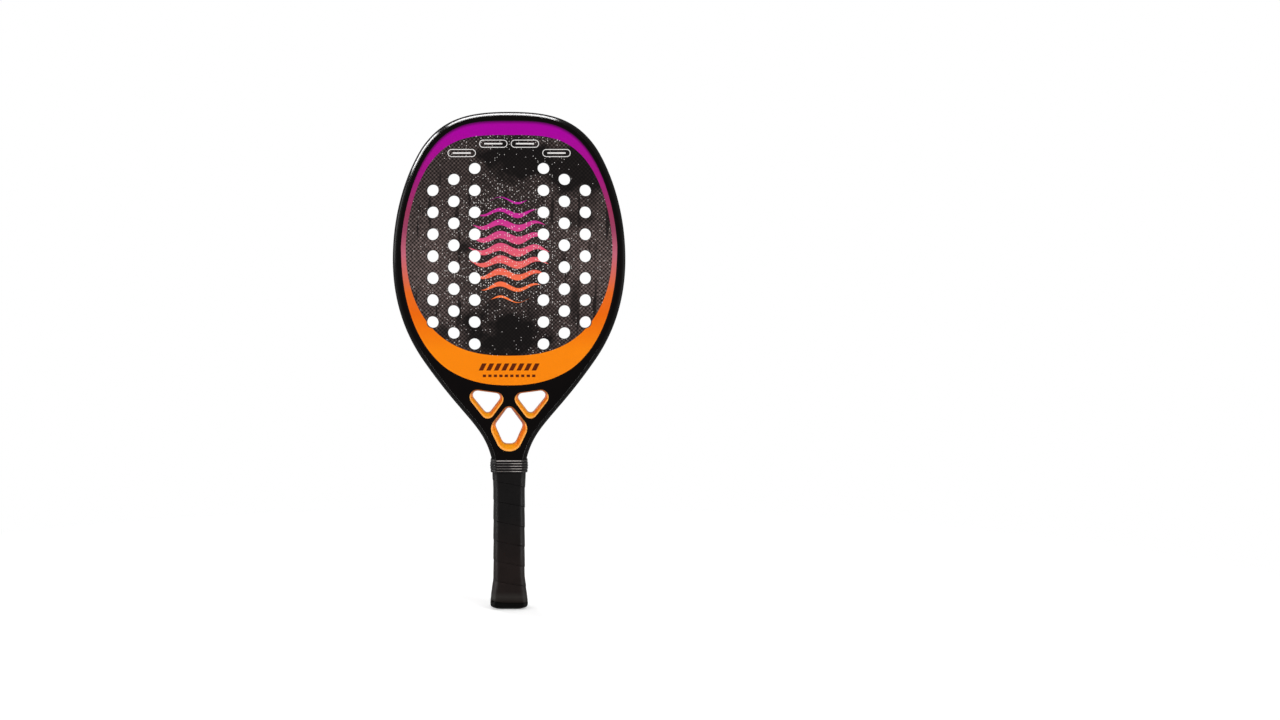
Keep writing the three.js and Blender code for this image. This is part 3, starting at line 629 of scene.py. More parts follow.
def printed_carbon_skin():
    """Satin plain-weave carbon with grit, in a ring that fades from orange to purple."""
    finish, place = new_finish("printed_carbon_skin", Specular_IOR_Level=0.05)
    tree = place.tree
    x, _, z = place.parts()
    across = abs(x)
    flat_place = join(x, z)

    # Plain weave: each tow passes over one and under the next.
    tow_x, tow_z = x / TOW_WIDTH, z / TOW_WIDTH
    square_x, square_z = tow_x.math("FLOOR"), tow_z.math("FLOOR")
    over = (square_x + square_z) % 2.0 < 1.0
    swell_x, swell_z = [(tow.math("FRACT") * math.pi).math("SINE") for tow in (tow_x, tow_z)]
    swell = over * swell_x + (1.0 - over) * swell_z
    chance_light = add(tree, "ShaderNodeTexWhiteNoise", {
        "Vector": join(square_x, square_z)}, noise_dimensions="2D")["Value"]
    tone = (swell * TOW_ROUNDNESS + over * (1 - TOW_ROUNDNESS)) * (chance_light * TOW_CHANCE + TOW_LEAST)
    carbon = tone.blend("060404", "736461")

    # The print shades the carbon: a light band across the middle, dark patches above and below
    # it, and a few dark streaks that run up the face.
    off_band = abs(z - LIGHT_BAND[0]) / LIGHT_BAND[1]
    darkness = (1.0 - (off_band ** 2.0 * -1.0).math("EXPONENT")) * BAND_DARKNESS
    drift = (noise(flat_place, cell=0.03, detail=4.0) - 0.5) * PATCH_DRIFT
    for patch_x, patch_z, half_width, half_height, strength in DARK_PATCHES:
        reach = length((x - patch_x) / half_width, (z - patch_z) / half_height) + drift
        darkness |= reach.ramp(*PATCH_EDGE, strength, 0.0)
    streaks = noise(join(x, z * STREAK_SLOWNESS), cell=0.006)
    darkness |= streaks.ramp(*STREAK_EDGE, 0.0, STREAK_DARKNESS)
    shade = darkness | across.ramp(*GRIT_SPREAD, MIDDLE_DARKNESS, 0.0)
    carbon = shade.blend(carbon, "0a0808")

    # Stacked wavy bars, thickest in the middle of a tall oval.
    lift = z - WAVE_CENTRE
    spread = (across / WAVE_HALF_WIDTH) ** 2.0 + (abs(lift) / WAVE_HALF_HEIGHT) ** 2.0
    swing = (x * (math.tau / WAVE_LENGTH)).math("SINE") * WAVE_SWING
    off_line = off_middle(lift + swing + WAVE_PITCH / 2, WAVE_PITCH)
    bars = within(off_line, (1.0 - spread) * WAVE_THICKNESS)
    inked = bars.blend(carbon, colour_fade(z, WAVE_COLOURS))

    # Four empty pill outlines near the top, the outer pair lower than the inner one.
    for pill_x, pill_z in PILL_PLACES:
        straight = abs(across - pill_x) - (PILL_HALF_LENGTH - PILL_RADIUS)
        aside = abs(z - pill_z)
        outline = abs(length(straight | 0.0, aside) - PILL_RADIUS)
        bar = (straight + PILL_RADIUS / 2) | aside
        mark = within(outline, PILL_LINE) | within(bar, PILL_LINE * 2)
        inked = mark.blend(inked, "e8e5e3")

    # Grit: one light speck in some of the cells, thick in the middle and thin at the sides.
    cells = add(tree, "ShaderNodeTexVoronoi", {
        "Vector": flat_place, "Scale": 1 / GRIT_CELL}, voronoi_dimensions="2D")
    chance = add(tree, "ShaderNodeSeparateColor", {0: cells["Color"]})[0]
    cloud = noise(place, cell=0.022, detail=3.0)
    amount = across.ramp(*GRIT_SPREAD, *GRIT_AMOUNT) * (cloud * GRIT_CLOUDING)
    amount *= 1.0 - darkness * GRIT_SHADING
    size = (chance + GRIT_LEAST) * GRIT_RADIUS
    speck = (chance < amount) * within(cells["Distance"] * GRIT_CELL, size)
    gritty = (speck * GRIT_STRENGTH).blend(inked, "efeae7")

    # The ring fades into the black round it near the top.
    grain = noise(place, cell=0.0012)
    ring = (grain * RING_GRAIN).blend(colour_fade(z, RING_COLOURS), "5a0a3c")
    past_ring = distance_to_oval(across, z, RING_OUTSIDE)
    fading = past_ring.ramp(-RING_FADE, 0.0) * z.ramp(*RING_FADE_HEIGHTS, 0.0, RING_FADE_STRENGTH)
    ring = fading.blend(ring, "050304")

    # A row of slanting dashes with a row of short upright ones below, on the orange.
    def dashes(centre, half_height, half_span, pitch, slope):
        drop = z - centre
        along = x - drop * slope
        inside_row = within(abs(drop), half_height) * within(abs(along), half_span)
        return within(off_middle(along, pitch), pitch * DASH_SHARE) * inside_row

    marks = dashes(*DASH_ROW) | dashes(*RULE_ROW)
    bordered = within(past_ring, 0.0).blend("090606", marks.blend(ring, "5b2208"))
    in_oval = within(distance_to_oval(across, z, RING_INSIDE), 0.0)
    dullness = (cloud * GRIT_DULLNESS + (1 - GRIT_DULLNESS)) * in_oval
    return surface(finish, in_oval.blend(bordered, gritty), dullness, smooth=0.3, rough=0.62,
                   relief=(swell * WEAVE_RELIEF + speck) * in_oval, depth=0.00012)


printed_skin = printed_carbon_skin()
drilling = drilling_tree()
foam_face = HALF_THICKNESS - SKIN_THICKNESS
face_layers = [
    ("eva_core_drilled", "eva_core", "foam", -foam_face, foam_face, foam),
    ("face_skin_front_printed", "face_skin_front", "face_laminate",
     -HALF_THICKNESS, -foam_face, printed_skin),
    ("face_skin_rear_printed", "face_skin_rear", "face_laminate",
     foam_face, HALF_THICKNESS, printed_skin),
]
for name, node, slot, front, rear, finish in face_layers:
    layer = plate(name, [face_outline()], front, rear, finish)
    shape_with(layer, drilling, finish, DRILLING)
    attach(layer, "root")
    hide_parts(node)

# Throat skins. Two laminate plates close the throat below the face, front and rear, over a
# foam core. Three windows are cut through, two side by side above and one below, and the
# skins carry the frame's own black lacquer.

THROAT_BOTTOM = 0.0737
WINDOW_WEB = 0.0027
UPPER_RADII = (0.0076, 0.00715, 0.0067)
LOWER_RADII = (0.0067, 0.0116, 0.0127, 0.0127, 0.0116)
WINDOW_STEPS = 14

# Window corners before rounding, as [across, up]: of the panel's half width, and of the way up
# from the neck to the face.
UPPER_CORNERS = [(0.889, 0.975), (0, 0.885), (0.822, 0.494)]
LOWER_CORNERS = [(0, 0.7705), (-1, 0.438), (-1, 0.111), (1, 0.111), (1, 0.438)]

panel_edge = edge_inside(TUBE_DEPTH + BOND)


def window_places(corners, web=0):
    """Window corners in place, with a web left at the panel's edge."""
    places = []
    for across, up in corners:
        height = mix(NECK_HEIGHT, FACE_BOTTOM, up)
        places.append(Vector((across * (width_at(panel_edge, height) - web), height)))
    return places


def throat_outline():
    bowl = bowl_edge(FACE_SEAM)
    rim = rim_between(THROAT_BOTTOM, bowl[-1].y)
    foot = [Vector((0, THROAT_BOTTOM)), Vector((rim[0].x, THROAT_BOTTOM))]
    return mirrored(foot + rim + bowl[::-1])


left_corners = [(-across, up) for across, up in reversed(UPPER_CORNERS)]
window_corners = {
    "left": (window_places(left_corners), UPPER_RADII[::-1]),
    "right": (window_places(UPPER_CORNERS), UPPER_RADII),
    "lower": (window_places(LOWER_CORNERS, WINDOW_WEB), LOWER_RADII),
}
windows = {
    place_name: round_corners(corners, radii, WINDOW_STEPS)
    for place_name, (corners, radii) in window_corners.items()}
throat_skins = [
    ("throat_skin_front_lacquered", "throat_skin_front", -HALF_THICKNESS, -foam_face),
    ("throat_skin_rear_lacquered", "throat_skin_rear", foam_face, HALF_THICKNESS),
]
for name, node, front, rear in throat_skins:
    skin = plate(name, [throat_outline(), *windows.values()], front, rear, lacquer)
    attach(skin, "root")
    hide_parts(node)

# Window liners. Each window holds a moulded orange ring, pushed in from the front and glued.
# It has a narrow lip level with both skins, rolls in from each face, and runs straight
# through the middle of the throat.

LINER_SEAM = 0.00004
LINER_LIP = 0.0007
LINER_LAND = 0.010
# Depth of the painted highlight at the lip, and the reach of the painted shade deep in the window.
LINER_LIP_HIGHLIGHT_DEPTH = 0.0104
LINER_SHADE_FADE = 0.002
ROLL_STEPS = 10
ROLL_FULLNESS = 0.5

# How far in each liner slopes at its top, its sides and its bottom, and the share of its corner
# radii that is left inside.
LINER_SLOPES = {
    "left": (0.001, 0.0032, 0.0053, 0.62), "right": (0.001, 0.0032, 0.0053, 0.62),
    "lower": (0.0018, 0.0046, 0.0063, 0.5),
}


def orange_liner():
    """Satin orange nylon, with a painted highlight at the lip, painted light on the walls that face up,
    and painted shade on those that face left, deep in the window and under its top.
    """
    finish, place = new_finish("orange_liner", Specular_IOR_Level=0.12)
    tone = noise(place, cell=0.006, detail=3.0)
    off_centre = abs(place.parts()[1])
    facing_x, _, facing_z = add(place.tree, "ShaderNodeNewGeometry")["Normal"].parts()
    overhang = add(place.tree, "ShaderNodeAttribute", attribute_name="overhang")["Fac"]
    colour = tone.blend("fb8404", "ff940e")
    # Painted light and shade: light on walls that face up, shade on walls that face left, a highlight on
    # the lip, shade deep in the window and under overhangs.
    for value, low, high, strength, code in (
            (facing_z, 0.1, 0.7, 0.9, "f6a216"),
            (facing_x, -0.2, -0.8, 0.7, "ee6418"),
            (off_centre, LINER_LIP_HIGHLIGHT_DEPTH, HALF_THICKNESS, 0.85, "ffae50"),
            (off_centre, LINER_LAND / 2 + LINER_SHADE_FADE, LINER_LAND / 2, 0.8, "b26c0c"),
            (overhang, 0.15, 0.7, 0.8, "8a3414")):
        colour = value.ramp(low, high, 0.0, strength).blend(colour, code)
    return surface(finish, colour, tone, smooth=0.28, rough=0.42,
                   relief=noise(place, cell=0.0004), depth=0.00002)


def liner_rings(outline, corners, radii, top, side, bottom, rounding):
    """Rings from the outer wall over the front lip, through the window and back over the rear lip."""
    mouth = inset(outline, LINER_LIP)
    west, east = min(p.x for p in mouth), max(p.x for p in mouth)
    south, north = min(p.y for p in mouth), max(p.y for p in mouth)
    narrowed = [
        Vector((
            mix(west + side, east - side, (p.x - west) / (east - west)),
            mix(south + bottom, north - top, (p.y - south) / (north - south))))
        for p in inset(corners, LINER_LIP)]
    aperture = round_corners(narrowed, [radius * rounding for radius in radii], WINDOW_STEPS)
    roll = [(HALF_THICKNESS, inset(outline, LINER_SEAM))]
    for step in range(ROLL_STEPS + 1):
        angle = math.pi / 2 * step / ROLL_STEPS
        deep = 1 - math.cos(angle)
        inwards = mix(deep, math.sin(angle), ROLL_FULLNESS)
        y = mix(HALF_THICKNESS, LINER_LAND / 2, deep)
        roll.append((y, [m.lerp(a, inwards) for m, a in zip(mouth, aperture)]))
    there_and_back = [(-y, ring) for y, ring in roll] + roll[::-1]
    return [[Vector((p.x, y, p.y)) for p in ring] for y, ring in there_and_back]


orange = orange_liner()
for place_name, outline in windows.items():
    rings = liner_rings(outline, *window_corners[place_name], *LINER_SLOPES[place_name])
    liner = put_together(
        f"window_liner_{place_name}_moulded", *skin_over(rings, closed=True), orange, crease_angle=50)
    # The overhang marks the walls that face down, where the finish paints shade.
    inwards = [(b - a).normalized() for a, b in zip(rings[0], rings[1])]
    overhang = liner.data.attributes.new("overhang", "FLOAT", "POINT")
    overhang.data.foreach_set("value", [max(0.0, -v.z) for v in inwards] * len(rings))
    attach(liner, "root")
    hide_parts(f"window_liner_{place_name}")

# Handle pallets. Two half shells of glass-filled plastic close round the legs and give the
# handle its eight sides. They are glued on, and the grip hides them.


def pallet_plastic():
    """Grey glass-filled plastic with short light fibres in it."""
    finish, place = new_finish("pallet_plastic")
    fibres = noise(place, cell=0.0006, detail=1.0, scale=(1.0, 1.0, 0.2))
    return surface(finish, fibres.blend("343436", "4c4c4f"), fibres, smooth=0.65, rough=0.85,
                   relief=fibres, depth=0.00005)


dress(pallet_plastic(), "handle_pallet_front", "handle_pallet_rear")

# Butt cap. A hard rubber cup is pushed over the foot of the pallets, with a shallow dome below
# a lip that the grip ends against. Staples through its thin skirt hold it on.

GRIP_HALF_WIDTH = 0.016
GRIP_HALF_DEPTH = 0.014
GRIP_BEVEL_X = 0.0032
GRIP_BEVEL_Y = 0.0045
TAPE_THICKNESS = 0.0015
PALLET_TOP_HEIGHT = 0.065
SHOULDER_HEIGHT = 0.044
SHOULDER_FLARE = 0.00135
BUTT_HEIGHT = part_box("butt_cap")[0][2]
BUTT_FLARE_HEIGHT = BUTT_HEIGHT + 0.028
BUTT_FLARE = 0.00285
BUTT_FLARE_EXPONENT = 0.7
CAP_LIP = 0.007
CAP_SKIRT = 0.024
CAP_WALL = 0.0011
CAP_EDGE = 0.0004
CAP_ROUNDING = 0.003
SKIRT_ROUNDING = 0.001
CAP_FLAT_SHARE = 0.5
DOME_EXPONENTS = (4.0, 1.35)
DOME_STEPS = 20
DOME_SPACING = 1.6
AROUND_STEPS = 7


def eight_sides(x, y, bevel_x, bevel_y, outwards, radius):
    """An eight-sided section from its half sizes, moved outwards, with rounded corners."""
    flat_x, flat_y = x - bevel_x, y - bevel_y
    corners = [Vector(corner) for corner in (
        (x, -flat_y), (x, flat_y), (flat_x, y), (-flat_x, y),
        (-x, flat_y), (-x, -flat_y), (-flat_x, -y), (flat_x, -y))]
    return round_corners(inset(corners, -outwards), [radius] * 8, AROUND_STEPS)


def grip_seat(height, outwards, radius):
    """Section of the pallets at a height."""
    down = part_way(height, BUTT_FLARE_HEIGHT, BUTT_HEIGHT + CAP_LIP)
    butt = BUTT_FLARE * down ** BUTT_FLARE_EXPONENT
    shoulder = SHOULDER_FLARE * part_way(height, SHOULDER_HEIGHT, PALLET_TOP_HEIGHT)
    x = GRIP_HALF_WIDTH - TAPE_THICKNESS - BOND + butt + shoulder
    y = GRIP_HALF_DEPTH - TAPE_THICKNESS - BOND + butt
    return eight_sides(x, y, GRIP_BEVEL_X, GRIP_BEVEL_Y, outwards, radius)


def laid(ring, height):
    """A flat ring laid level at a height."""
    return [Vector((point.x, point.y, height)) for point in ring]


def hard_rubber():
    """Satin black rubber with a fine spark-eroded grain."""
    finish, place = new_finish("hard_rubber", Specular_IOR_Level=0.03)
    tone = noise(place, cell=0.008, detail=3.0)
    return surface(finish, tone.blend("050404", "0b0909"), tone, smooth=0.38, rough=0.55,
                   relief=noise(place, cell=0.00035), depth=0.00003)


lip = grip_seat(BUTT_HEIGHT + CAP_LIP, TAPE_THICKNESS + BOND, CAP_ROUNDING)
cap_rings = []
for step in range(DOME_STEPS + 1):
    up = (step / DOME_STEPS) ** DOME_SPACING
    swell = (1 - (1 - up) ** DOME_EXPONENTS[0]) ** (1 / DOME_EXPONENTS[1])
    share = mix(CAP_FLAT_SHARE, 1, swell)
    cap_rings.append(laid([point * share for point in lip], BUTT_HEIGHT + up * CAP_LIP))
edge_height = BUTT_HEIGHT + CAP_LIP + CAP_EDGE / 2
skirt_top = BUTT_HEIGHT + CAP_SKIRT
edge_ring = grip_seat(BUTT_HEIGHT + CAP_LIP, TAPE_THICKNESS + BOND - CAP_EDGE, CAP_ROUNDING)
cap_rings.append(laid(edge_ring, edge_height))
for height in (edge_height, (BUTT_HEIGHT + CAP_LIP + skirt_top) / 2, skirt_top):
    cap_rings.append(laid(grip_seat(height, 0, SKIRT_ROUNDING), height))
pocket = grip_seat(BUTT_FLARE_HEIGHT, -CAP_WALL, SKIRT_ROUNDING)
cap_rings += [laid(pocket, skirt_top), laid(pocket, FOOT_HEIGHT - BOND)]
cap = put_together("butt_cap_domed", *skin_over(cap_rings), hard_rubber())
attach(cap, "root")
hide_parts("butt_cap")

# Staples. Four steel staples are shot through the cap's skirt into the pallets, two at the
# front and two at the rear, before the grip is wound over them.


def staple_steel():
    """Bright drawn wire with fine lines along it."""
    finish, place = new_finish("staple_steel", Metallic=1.0)
    lines = noise(place, cell=0.0002, scale=(0.1, 1.0, 1.0))
    return surface(finish, lines.blend("a9abae", "cfd1d3"), lines, smooth=0.25, rough=0.4,
                   relief=lines, depth=0.00002)


dress(staple_steel(), "butt_staple_1", "butt_staple_2", "butt_staple_3", "butt_staple_4")

# Base grip. One long strip of black cushioned polyurethane tape is wound up the handle from
# the cap's lip to the top of the pallets. Each turn laps a little over the one below.

WIND_PITCH = 0.020
TAPE_WIDTH = 0.01988
TAPE_TIP = 0.002
TAPE_LAP_DROP = 0.0004
TAPE_MIDDLE_DROP = 0.00014
TAPE_EDGE = 0.0005
TURN_STEPS = 96
EDGE_ARC_STEPS = 4
GRIP_CORNER_RADIUS = 0.0042
TAPE_PORE = 0.0009
HANDLED_HEIGHTS = (0.02, -0.03)
# Height, reach and strength of the painted highlight round the tape at the heel.
HEEL_HEIGHT = -0.062
HEEL_REACH = 0.005
HEEL_HIGHLIGHT_STRENGTH = 0.4


def cushioned_tape():
    """Black polyurethane with a leathery grain, browner where hands hold it, with a painted highlight
    round it at the heel.
    """
    finish, place = new_finish(
        "cushioned_tape", Specular_IOR_Level=0.05, Sheen_Weight=0.01, Sheen_Roughness=0.5)
    pores = add(place.tree, "ShaderNodeTexVoronoi", {"Vector": place, "Scale": 1 / TAPE_PORE})
    wear = noise(place, cell=0.018, detail=4.0)
    height = place.parts()[2]
    handled = height.ramp(*HANDLED_HEIGHTS)
    colour = wear.blend(handled.blend("090808", "120c0b"), handled.blend("141212", "201917"))
    # Painted highlight: a paler band round the tape just above the cap's lip.
    heel = abs(height - HEEL_HEIGHT).ramp(0.0, HEEL_REACH, HEEL_HIGHLIGHT_STRENGTH, 0.0)
    relief = pores["Distance"] * 0.5 + noise(place, cell=0.0025, detail=4.0)
    return surface(finish, heel.blend(colour, "3a3835"), wear, smooth=0.42, rough=0.62,
                   relief=relief, depth=0.00012)


def evenly(points, count):
    """A closed outline walked round in equal paces."""
    loop = points + [points[0]]
    lengths = [(b - a).length for a, b in zip(loop, loop[1:])]
    pace = sum(lengths) / count
    walked, k, even = 0, 0, []
    for step in range(count):
        while walked + lengths[k] < step * pace - 1e-9:
            walked += lengths[k]
            k += 1
        even.append(loop[k].lerp(loop[k + 1], (step * pace - walked) / lengths[k]))
    return even


def tape_section(low, high):
    """The tape cut across, as (outwards, height): flat inside, rounded edges, the lower one proud."""
    width = high - low
    radius = min(TAPE_EDGE, width / 3)
    proud = BOND + TAPE_THICKNESS
    corners = [
        Vector((BOND, low)), Vector((proud, low)),
        Vector((proud - TAPE_MIDDLE_DROP, low + width / 2)),
        Vector((proud - TAPE_LAP_DROP, high)), Vector((BOND, high)),
    ]
    return round_corners(corners, [0, radius, width, radius, 0], EDGE_ARC_STEPS)


wind_bottom = BUTT_HEIGHT + CAP_LIP + BOND
wind_top = PALLET_TOP_HEIGHT - BOND
climb = WIND_PITCH / TURN_STEPS
wind_steps = int((wind_top - wind_bottom + TAPE_WIDTH - 2 * TAPE_TIP) / climb)
loops_at = {}


def wrapped_point(step, outwards, height):
    """A point over the pallets, a number of paces round the handle."""
    key = (round(outwards, 5), round(height, 4))
    if key not in loops_at:
        loops_at[key] = evenly(grip_seat(key[1], key[0], GRIP_CORNER_RADIUS), TURN_STEPS)
    flat = loops_at[key][step % TURN_STEPS]
    return Vector((-flat.x, flat.y, height))


tape_rings = []
for step in range(wind_steps + 1):
    upper = wind_bottom + TAPE_TIP + climb * step
    low, high = max(wind_bottom, upper - TAPE_WIDTH), min(wind_top, upper)
    tape_rings.append([wrapped_point(step, p.x, p.y) for p in tape_section(low, high)])
grip = put_together("base_grip_wound", *skin_over(tape_rings), cushioned_tape(), crease_angle=60)
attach(grip, "root")
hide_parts("base_grip")

# Finishing band. A short run of black vinyl tape holds the grip's upper end down on the legs.
# The collar is rolled over it afterwards.


def vinyl_tape():
    """Thin black vinyl, slightly stretched and wrinkled round the handle."""
    finish, place = new_finish("vinyl_tape")
    pull = noise(place, cell=0.004, scale=(1.0, 1.0, 4.0))
    return surface(finish, pull.blend("101011", "1c1c1e"), pull, smooth=0.3, rough=0.45,
                   relief=pull, depth=0.0001)


dress(vinyl_tape(), "finishing_band")

# Collar. A soft black rubber sleeve with four grooves between its five ribs is rolled over the
# grip's upper end and the band, and grips the legs at the neck. It is moulded in one piece.

COLLAR_BOTTOM = 0.0624
COLLAR_WALL = 0.0009
COLLAR_LIP_WALL = 0.0006
COLLAR_BULGE = 0.0007
COLLAR_RINGS = 90
COLLAR_ROUNDING = 0.003
INNER_RING_STRIDE = 9
RIBBING = {"Bottom": COLLAR_BOTTOM, "Top": NECK_HEIGHT, "Ribs": 5.0, "Rib depth": 0.00055}
GROOVE_EDGE = (0.25, 0.7)
LEG_BEVEL = 0.0043
BAND_TOP_HEIGHT = 0.0722
BAND_THICKNESS = 0.0005

# Where the ribs carry a painted highlight: limits, and the amounts at them.
RIB_HIGHLIGHT_CREST = (0.3, 0.14)
RIB_HIGHLIGHT_ACROSS = (0.0, 0.004, 0.22, 0.68)
RIB_HIGHLIGHT_TOP = (0.79, 0.81, 0.0, 0.95)
RIB_HIGHLIGHT_FLAT = (0.0115, 0.0135, 1.0, 0.1)


def soft_rubber():
    """Black rubber with a dull bloom and a painted grey highlight along its ribs, most at the top and
    the right.
    """
    finish, place = new_finish("soft_rubber", Specular_IOR_Level=0.05)
    bloom = noise(place, cell=0.005, detail=4.0)
    x, _, z = place.parts()
    share = z.ramp(COLLAR_BOTTOM, NECK_HEIGHT)
    crest = (off_middle(share * RIBBING["Ribs"], 1.0) * 2.0).ramp(*RIB_HIGHLIGHT_CREST)
    along = x.ramp(*RIB_HIGHLIGHT_ACROSS)
    top_rib = share.ramp(*RIB_HIGHLIGHT_TOP)
    on_flat = abs(x).ramp(*RIB_HIGHLIGHT_FLAT)
    # Painted highlight: light grey on the rib crests, strongest on the top rib and right of the middle,
    # faint at the sides.
    rib_highlight = (along | top_rib) * on_flat * crest
    return surface(finish, rib_highlight.blend(bloom.blend("0c0a0b", "171414"), "d2cbc8"), bloom,
                   smooth=0.3, rough=0.44, relief=noise(place, cell=0.0005), depth=0.00003)


def leg_section(height, outwards, radius):
    """Section over both legs at a height."""
    half = half_thickness(height)
    x = width_at(edge_inside(0), height)
    return eight_sides(x, half, LEG_BEVEL, half * (1 - RIM_SHARE), outwards, radius)


def ribbing_tree():
    """Geometry Nodes that press grooves between ribs into the outside of a sleeve."""
    tree, given = start_tree("collar_ribbing", RIBBING)
    height = add(tree, "GeometryNodeInputPosition")[0].parts()[2]
    share = (height - given["Bottom"]) / (given["Top"] - given["Bottom"])
    off_crest = off_middle(share * given["Ribs"], 1.0) * 2.0
    groove = off_crest.ramp(*GROOVE_EDGE, interpolation_type="SMOOTHSTEP")
    inner = share.math("MINIMUM", 1.0 - share) * given["Ribs"] > 0.5
    outside = add(tree, "GeometryNodeInputNamedAttribute", {"Name": "outside"}, data_type="FLOAT")[0]
    depth = groove * inner * outside * given["Rib depth"] * -1.0
    normal = add(tree, "GeometryNodeInputNormal")[0]
    offset = add(tree, "ShaderNodeVectorMath", {0: normal, "Scale": depth}, operation="SCALE")[0]
    pressed = add(tree, "GeometryNodeSetPosition", {"Geometry": given["Geometry"], "Offset": offset})
    return end_tree(pressed[0], given)


over_tape = grip_seat(COLLAR_BOTTOM, TAPE_THICKNESS + BOND, COLLAR_ROUNDING)
over_legs = leg_section(NECK_HEIGHT, 0, COLLAR_ROUNDING)
outer_rings, inner_rings = [], []
for step in range(COLLAR_RINGS + 1):
    share = step / COLLAR_RINGS
    height = mix(COLLAR_BOTTOM, NECK_HEIGHT, share)
    wall = mix(COLLAR_WALL, COLLAR_LIP_WALL, share) + COLLAR_BULGE * math.sin(math.pi * share)
    between = [a.lerp(b, share) for a, b in zip(over_tape, over_legs)]
    outer_rings.append(laid(inset(between, -BOND - wall), height))
for step in range(COLLAR_RINGS, -1, -INNER_RING_STRIDE):
    height = mix(COLLAR_BOTTOM, NECK_HEIGHT, step / COLLAR_RINGS)
    if height > BAND_TOP_HEIGHT:
        section = leg_section(height, BOND, COLLAR_ROUNDING)
    elif height > PALLET_TOP_HEIGHT:
        section = leg_section(height, 2 * BOND + BAND_THICKNESS, COLLAR_ROUNDING)
    else:
        section = grip_seat(height, TAPE_THICKNESS + 2 * BOND, COLLAR_ROUNDING)
    inner_rings.append(laid(section, height))
sleeve = skin_over(outer_rings + inner_rings, closed=True)
rubber = soft_rubber()
collar = put_together("grip_collar_ribbed", *sleeve, rubber)
marks = collar.data.attributes.new("outside", "FLOAT", "POINT")
ring_marks = [1.0] * len(outer_rings) + [0.0] * len(inner_rings)
marks.data.foreach_set("value", [mark for mark in ring_marks for _ in over_tape])
shape_with(collar, ribbing_tree(), rubber, RIBBING)
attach(collar, "root")
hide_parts("grip_collar")

# Studio. The racket stands on its butt on a pale floor in front of white, under a large soft
# lamp from the upper right and weaker ones from the left and the back. Strips that only reflect
# light up the bevel of the head, the corners of the handle and the edges of the throat.

FLOOR_HALF_SIZE = 6.0
FLOOR_SHADE = 0.93
FLOOR_GLOW = 0.36
STUDIO_LIGHT = 0.5
WHITE_FROM = 0.3
WHITE_PAST = 0.9


def seen_rays(tree):
    """One for the rays that see or mirror the studio, nought for those that light the racket."""
    rays = add(tree, "ShaderNodeLightPath")
    return rays["Is Camera Ray"] | rays["Is Glossy Ray"] | rays["Is Transmission Ray"]


def floor_finish():
    """Pale painted floor that keeps the shadow near the racket and turns plain white further off."""
    finish, place = new_finish(
        "floor_finish", Specular_IOR_Level=0.0, Roughness=1.0, Base_Color=(*[FLOOR_SHADE] * 3, 1))
    tree = place.tree
    x, y, _ = place.parts()
    seen = seen_rays(tree)
    far = length(x, y).ramp(WHITE_FROM, WHITE_PAST) * seen
    glow = add(tree, "ShaderNodeEmission", {"Strength": seen * FLOOR_GLOW})[0]
    painted = Wire(tree.nodes["Principled BSDF"].outputs[0])
    lit = add(tree, "ShaderNodeAddShader", {0: painted, 1: glow})[0]
    white = add(tree, "ShaderNodeEmission", {"Strength": 1.0})[0]
    mixed = add(tree, "ShaderNodeMixShader", {0: far, 1: lit, 2: white})[0]
    tree.links.new(mixed.socket, tree.nodes["Material Output"].inputs["Surface"])
    return finish


def soft_lamp(name, place, aim, along, size, power):
    """An area lamp. Strips are only seen mirrored, and the back lamp never is."""
    lamp = bpy.data.lights.new(name, "AREA")
    lamp.shape = "RECTANGLE"
    lamp.size, lamp.size_y = size
    lamp.energy = power
    holder = in_scene(name, lamp)
    back = (Vector(place) - Vector(aim)).normalized()
    along = Vector(along)
    along = (along - back * along.dot(back)).normalized()
    holder.location = place
    holder.rotation_euler = Matrix((along, back.cross(along), back)).transposed().to_euler()
    holder.visible_camera = False
    holder.visible_diffuse = "strip" not in name
    holder.visible_glossy = name != "back_lamp"


corners = [
    (x * FLOOR_HALF_SIZE, y * FLOOR_HALF_SIZE, BUTT_HEIGHT)
    for x, y in ((-1, -1), (1, -1), (1, 1), (-1, 1))]
floor = put_together("floor", corners, [(0, 1, 2, 3)], floor_finish())

world = bpy.data.worlds.new("white_studio")
bpy.context.scene.world = world
world.use_nodes = True
background = world.node_tree.nodes["Background"]
background.inputs["Color"].default_value = (1, 1, 1, 1)
strength = seen_rays(world.node_tree).ramp(0.0, 1.0, STUDIO_LIGHT, 1.0)
world.node_tree.links.new(strength.socket, background.inputs["Strength"])

head_middle = (0, 0, WIDEST_HEIGHT)
head_top = (0, 0, TIP_HEIGHT)
head_left = (-HEAD_HALF_WIDTH, 0, WIDEST_HEIGHT)
grip_middle = (0, 0, 0)
throat_middle = (0, 0, (NECK_HEIGHT + FACE_BOTTOM) / 2)

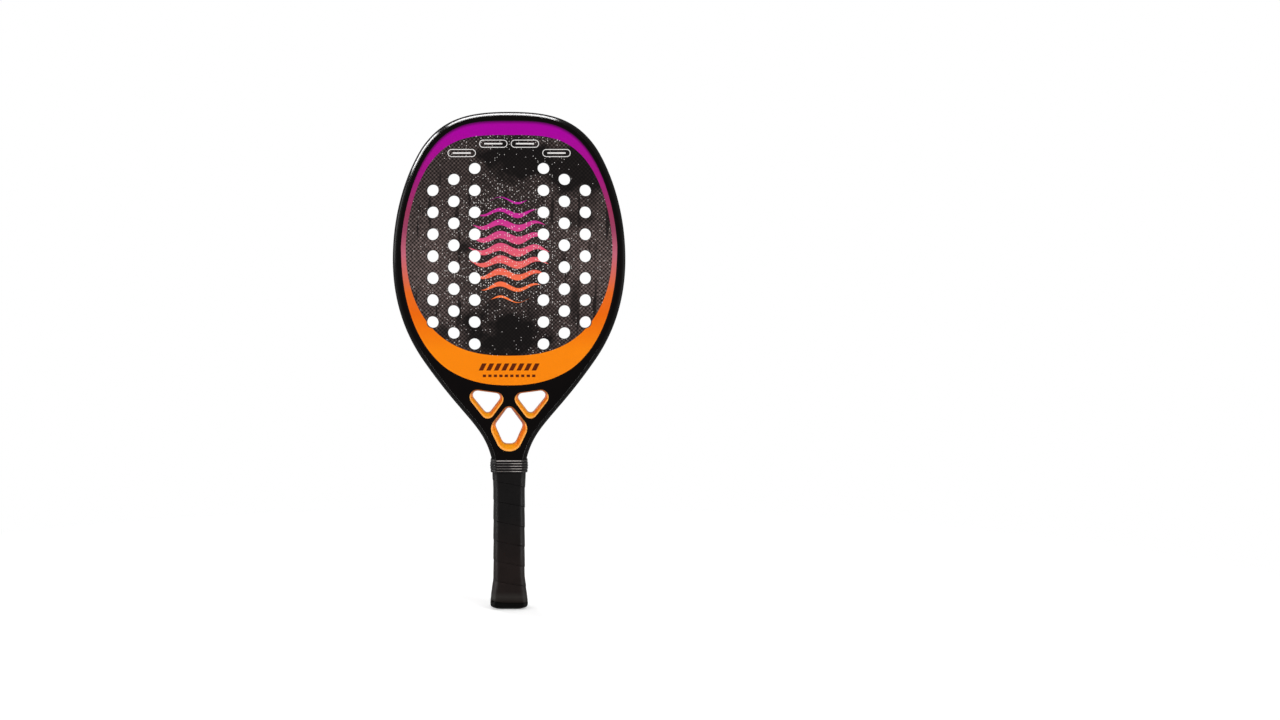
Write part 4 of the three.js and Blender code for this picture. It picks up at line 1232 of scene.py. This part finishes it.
# Each lamp's place, the point that it faces, the direction of its first size, its sizes and power.
lamps = {
    "key_lamp": ((1.3, -2.0, 1.5), head_middle, (1, 0, 0), (1.2, 1.2), 26),
    "fill_lamp": ((-1.6, -1.6, 0.6), head_middle, (0, 0, 1), (1.4, 1.0), 12),
    "back_lamp": ((-1.2, 2.2, 1.2), head_middle, (1, 0, 0), (1.4, 1.0), 22),
    "top_strip": ((-0.12, 0.23, 1.52), head_top, (1, 0, 0), (1.08, 0.24), 127),
    "corner_strip": ((-1.015, 0.25, 1.08), head_left, (0.64, 0, 0.77), (0.56, 0.24), 70),
    "side_strip": ((-1.3, 0.3, 0.5), head_left, (0, 0, 1), (0.5, 0.2), 3),
}
for side, side_name in ((-1, "left"), (1, "right")):
    lamps[f"grip_strip_{side_name}"] = (
        (side * 1.2, 0.35, 0.15), grip_middle, (0, 0, 1), (0.5, 0.2), 0.5)
    lamps[f"throat_strip_{side_name}"] = (
        (side * 0.27, -0.07, -0.02), throat_middle, (side * 0.6, 0, 0.8), (0.14, 0.06), 1.2)
for name, settings in lamps.items():
    soft_lamp(name, *settings)

# Camera. It looks square on at the front face from a little over two metres, level with the
# middle of the head, and the shift puts the racket left of the middle as photographed.

LENS = 61.6
SENSOR_WIDTH = 36
EYE_HEIGHT = 0.274
EYE_DISTANCE = 2.2
PHOTO_WIDTH = 1280
RACKET_PIXEL_X = 509.1
EYE_PIXEL_Y = 261.75
PHOTO_MIDDLE = (640, 360)

camera_data = bpy.data.cameras.new("camera")
camera_data.lens = LENS
camera_data.sensor_width = SENSOR_WIDTH
camera_data.shift_x = (PHOTO_MIDDLE[0] - RACKET_PIXEL_X) / PHOTO_WIDTH
camera_data.shift_y = (EYE_PIXEL_Y - PHOTO_MIDDLE[1]) / PHOTO_WIDTH
camera = in_scene("camera", camera_data)
camera.location = (0, -HALF_THICKNESS - EYE_DISTANCE, EYE_HEIGHT)
camera.rotation_euler = (math.pi / 2, 0, 0)
bpy.context.scene.camera = camera
bpy.context.scene.view_settings.view_transform = "Standard"
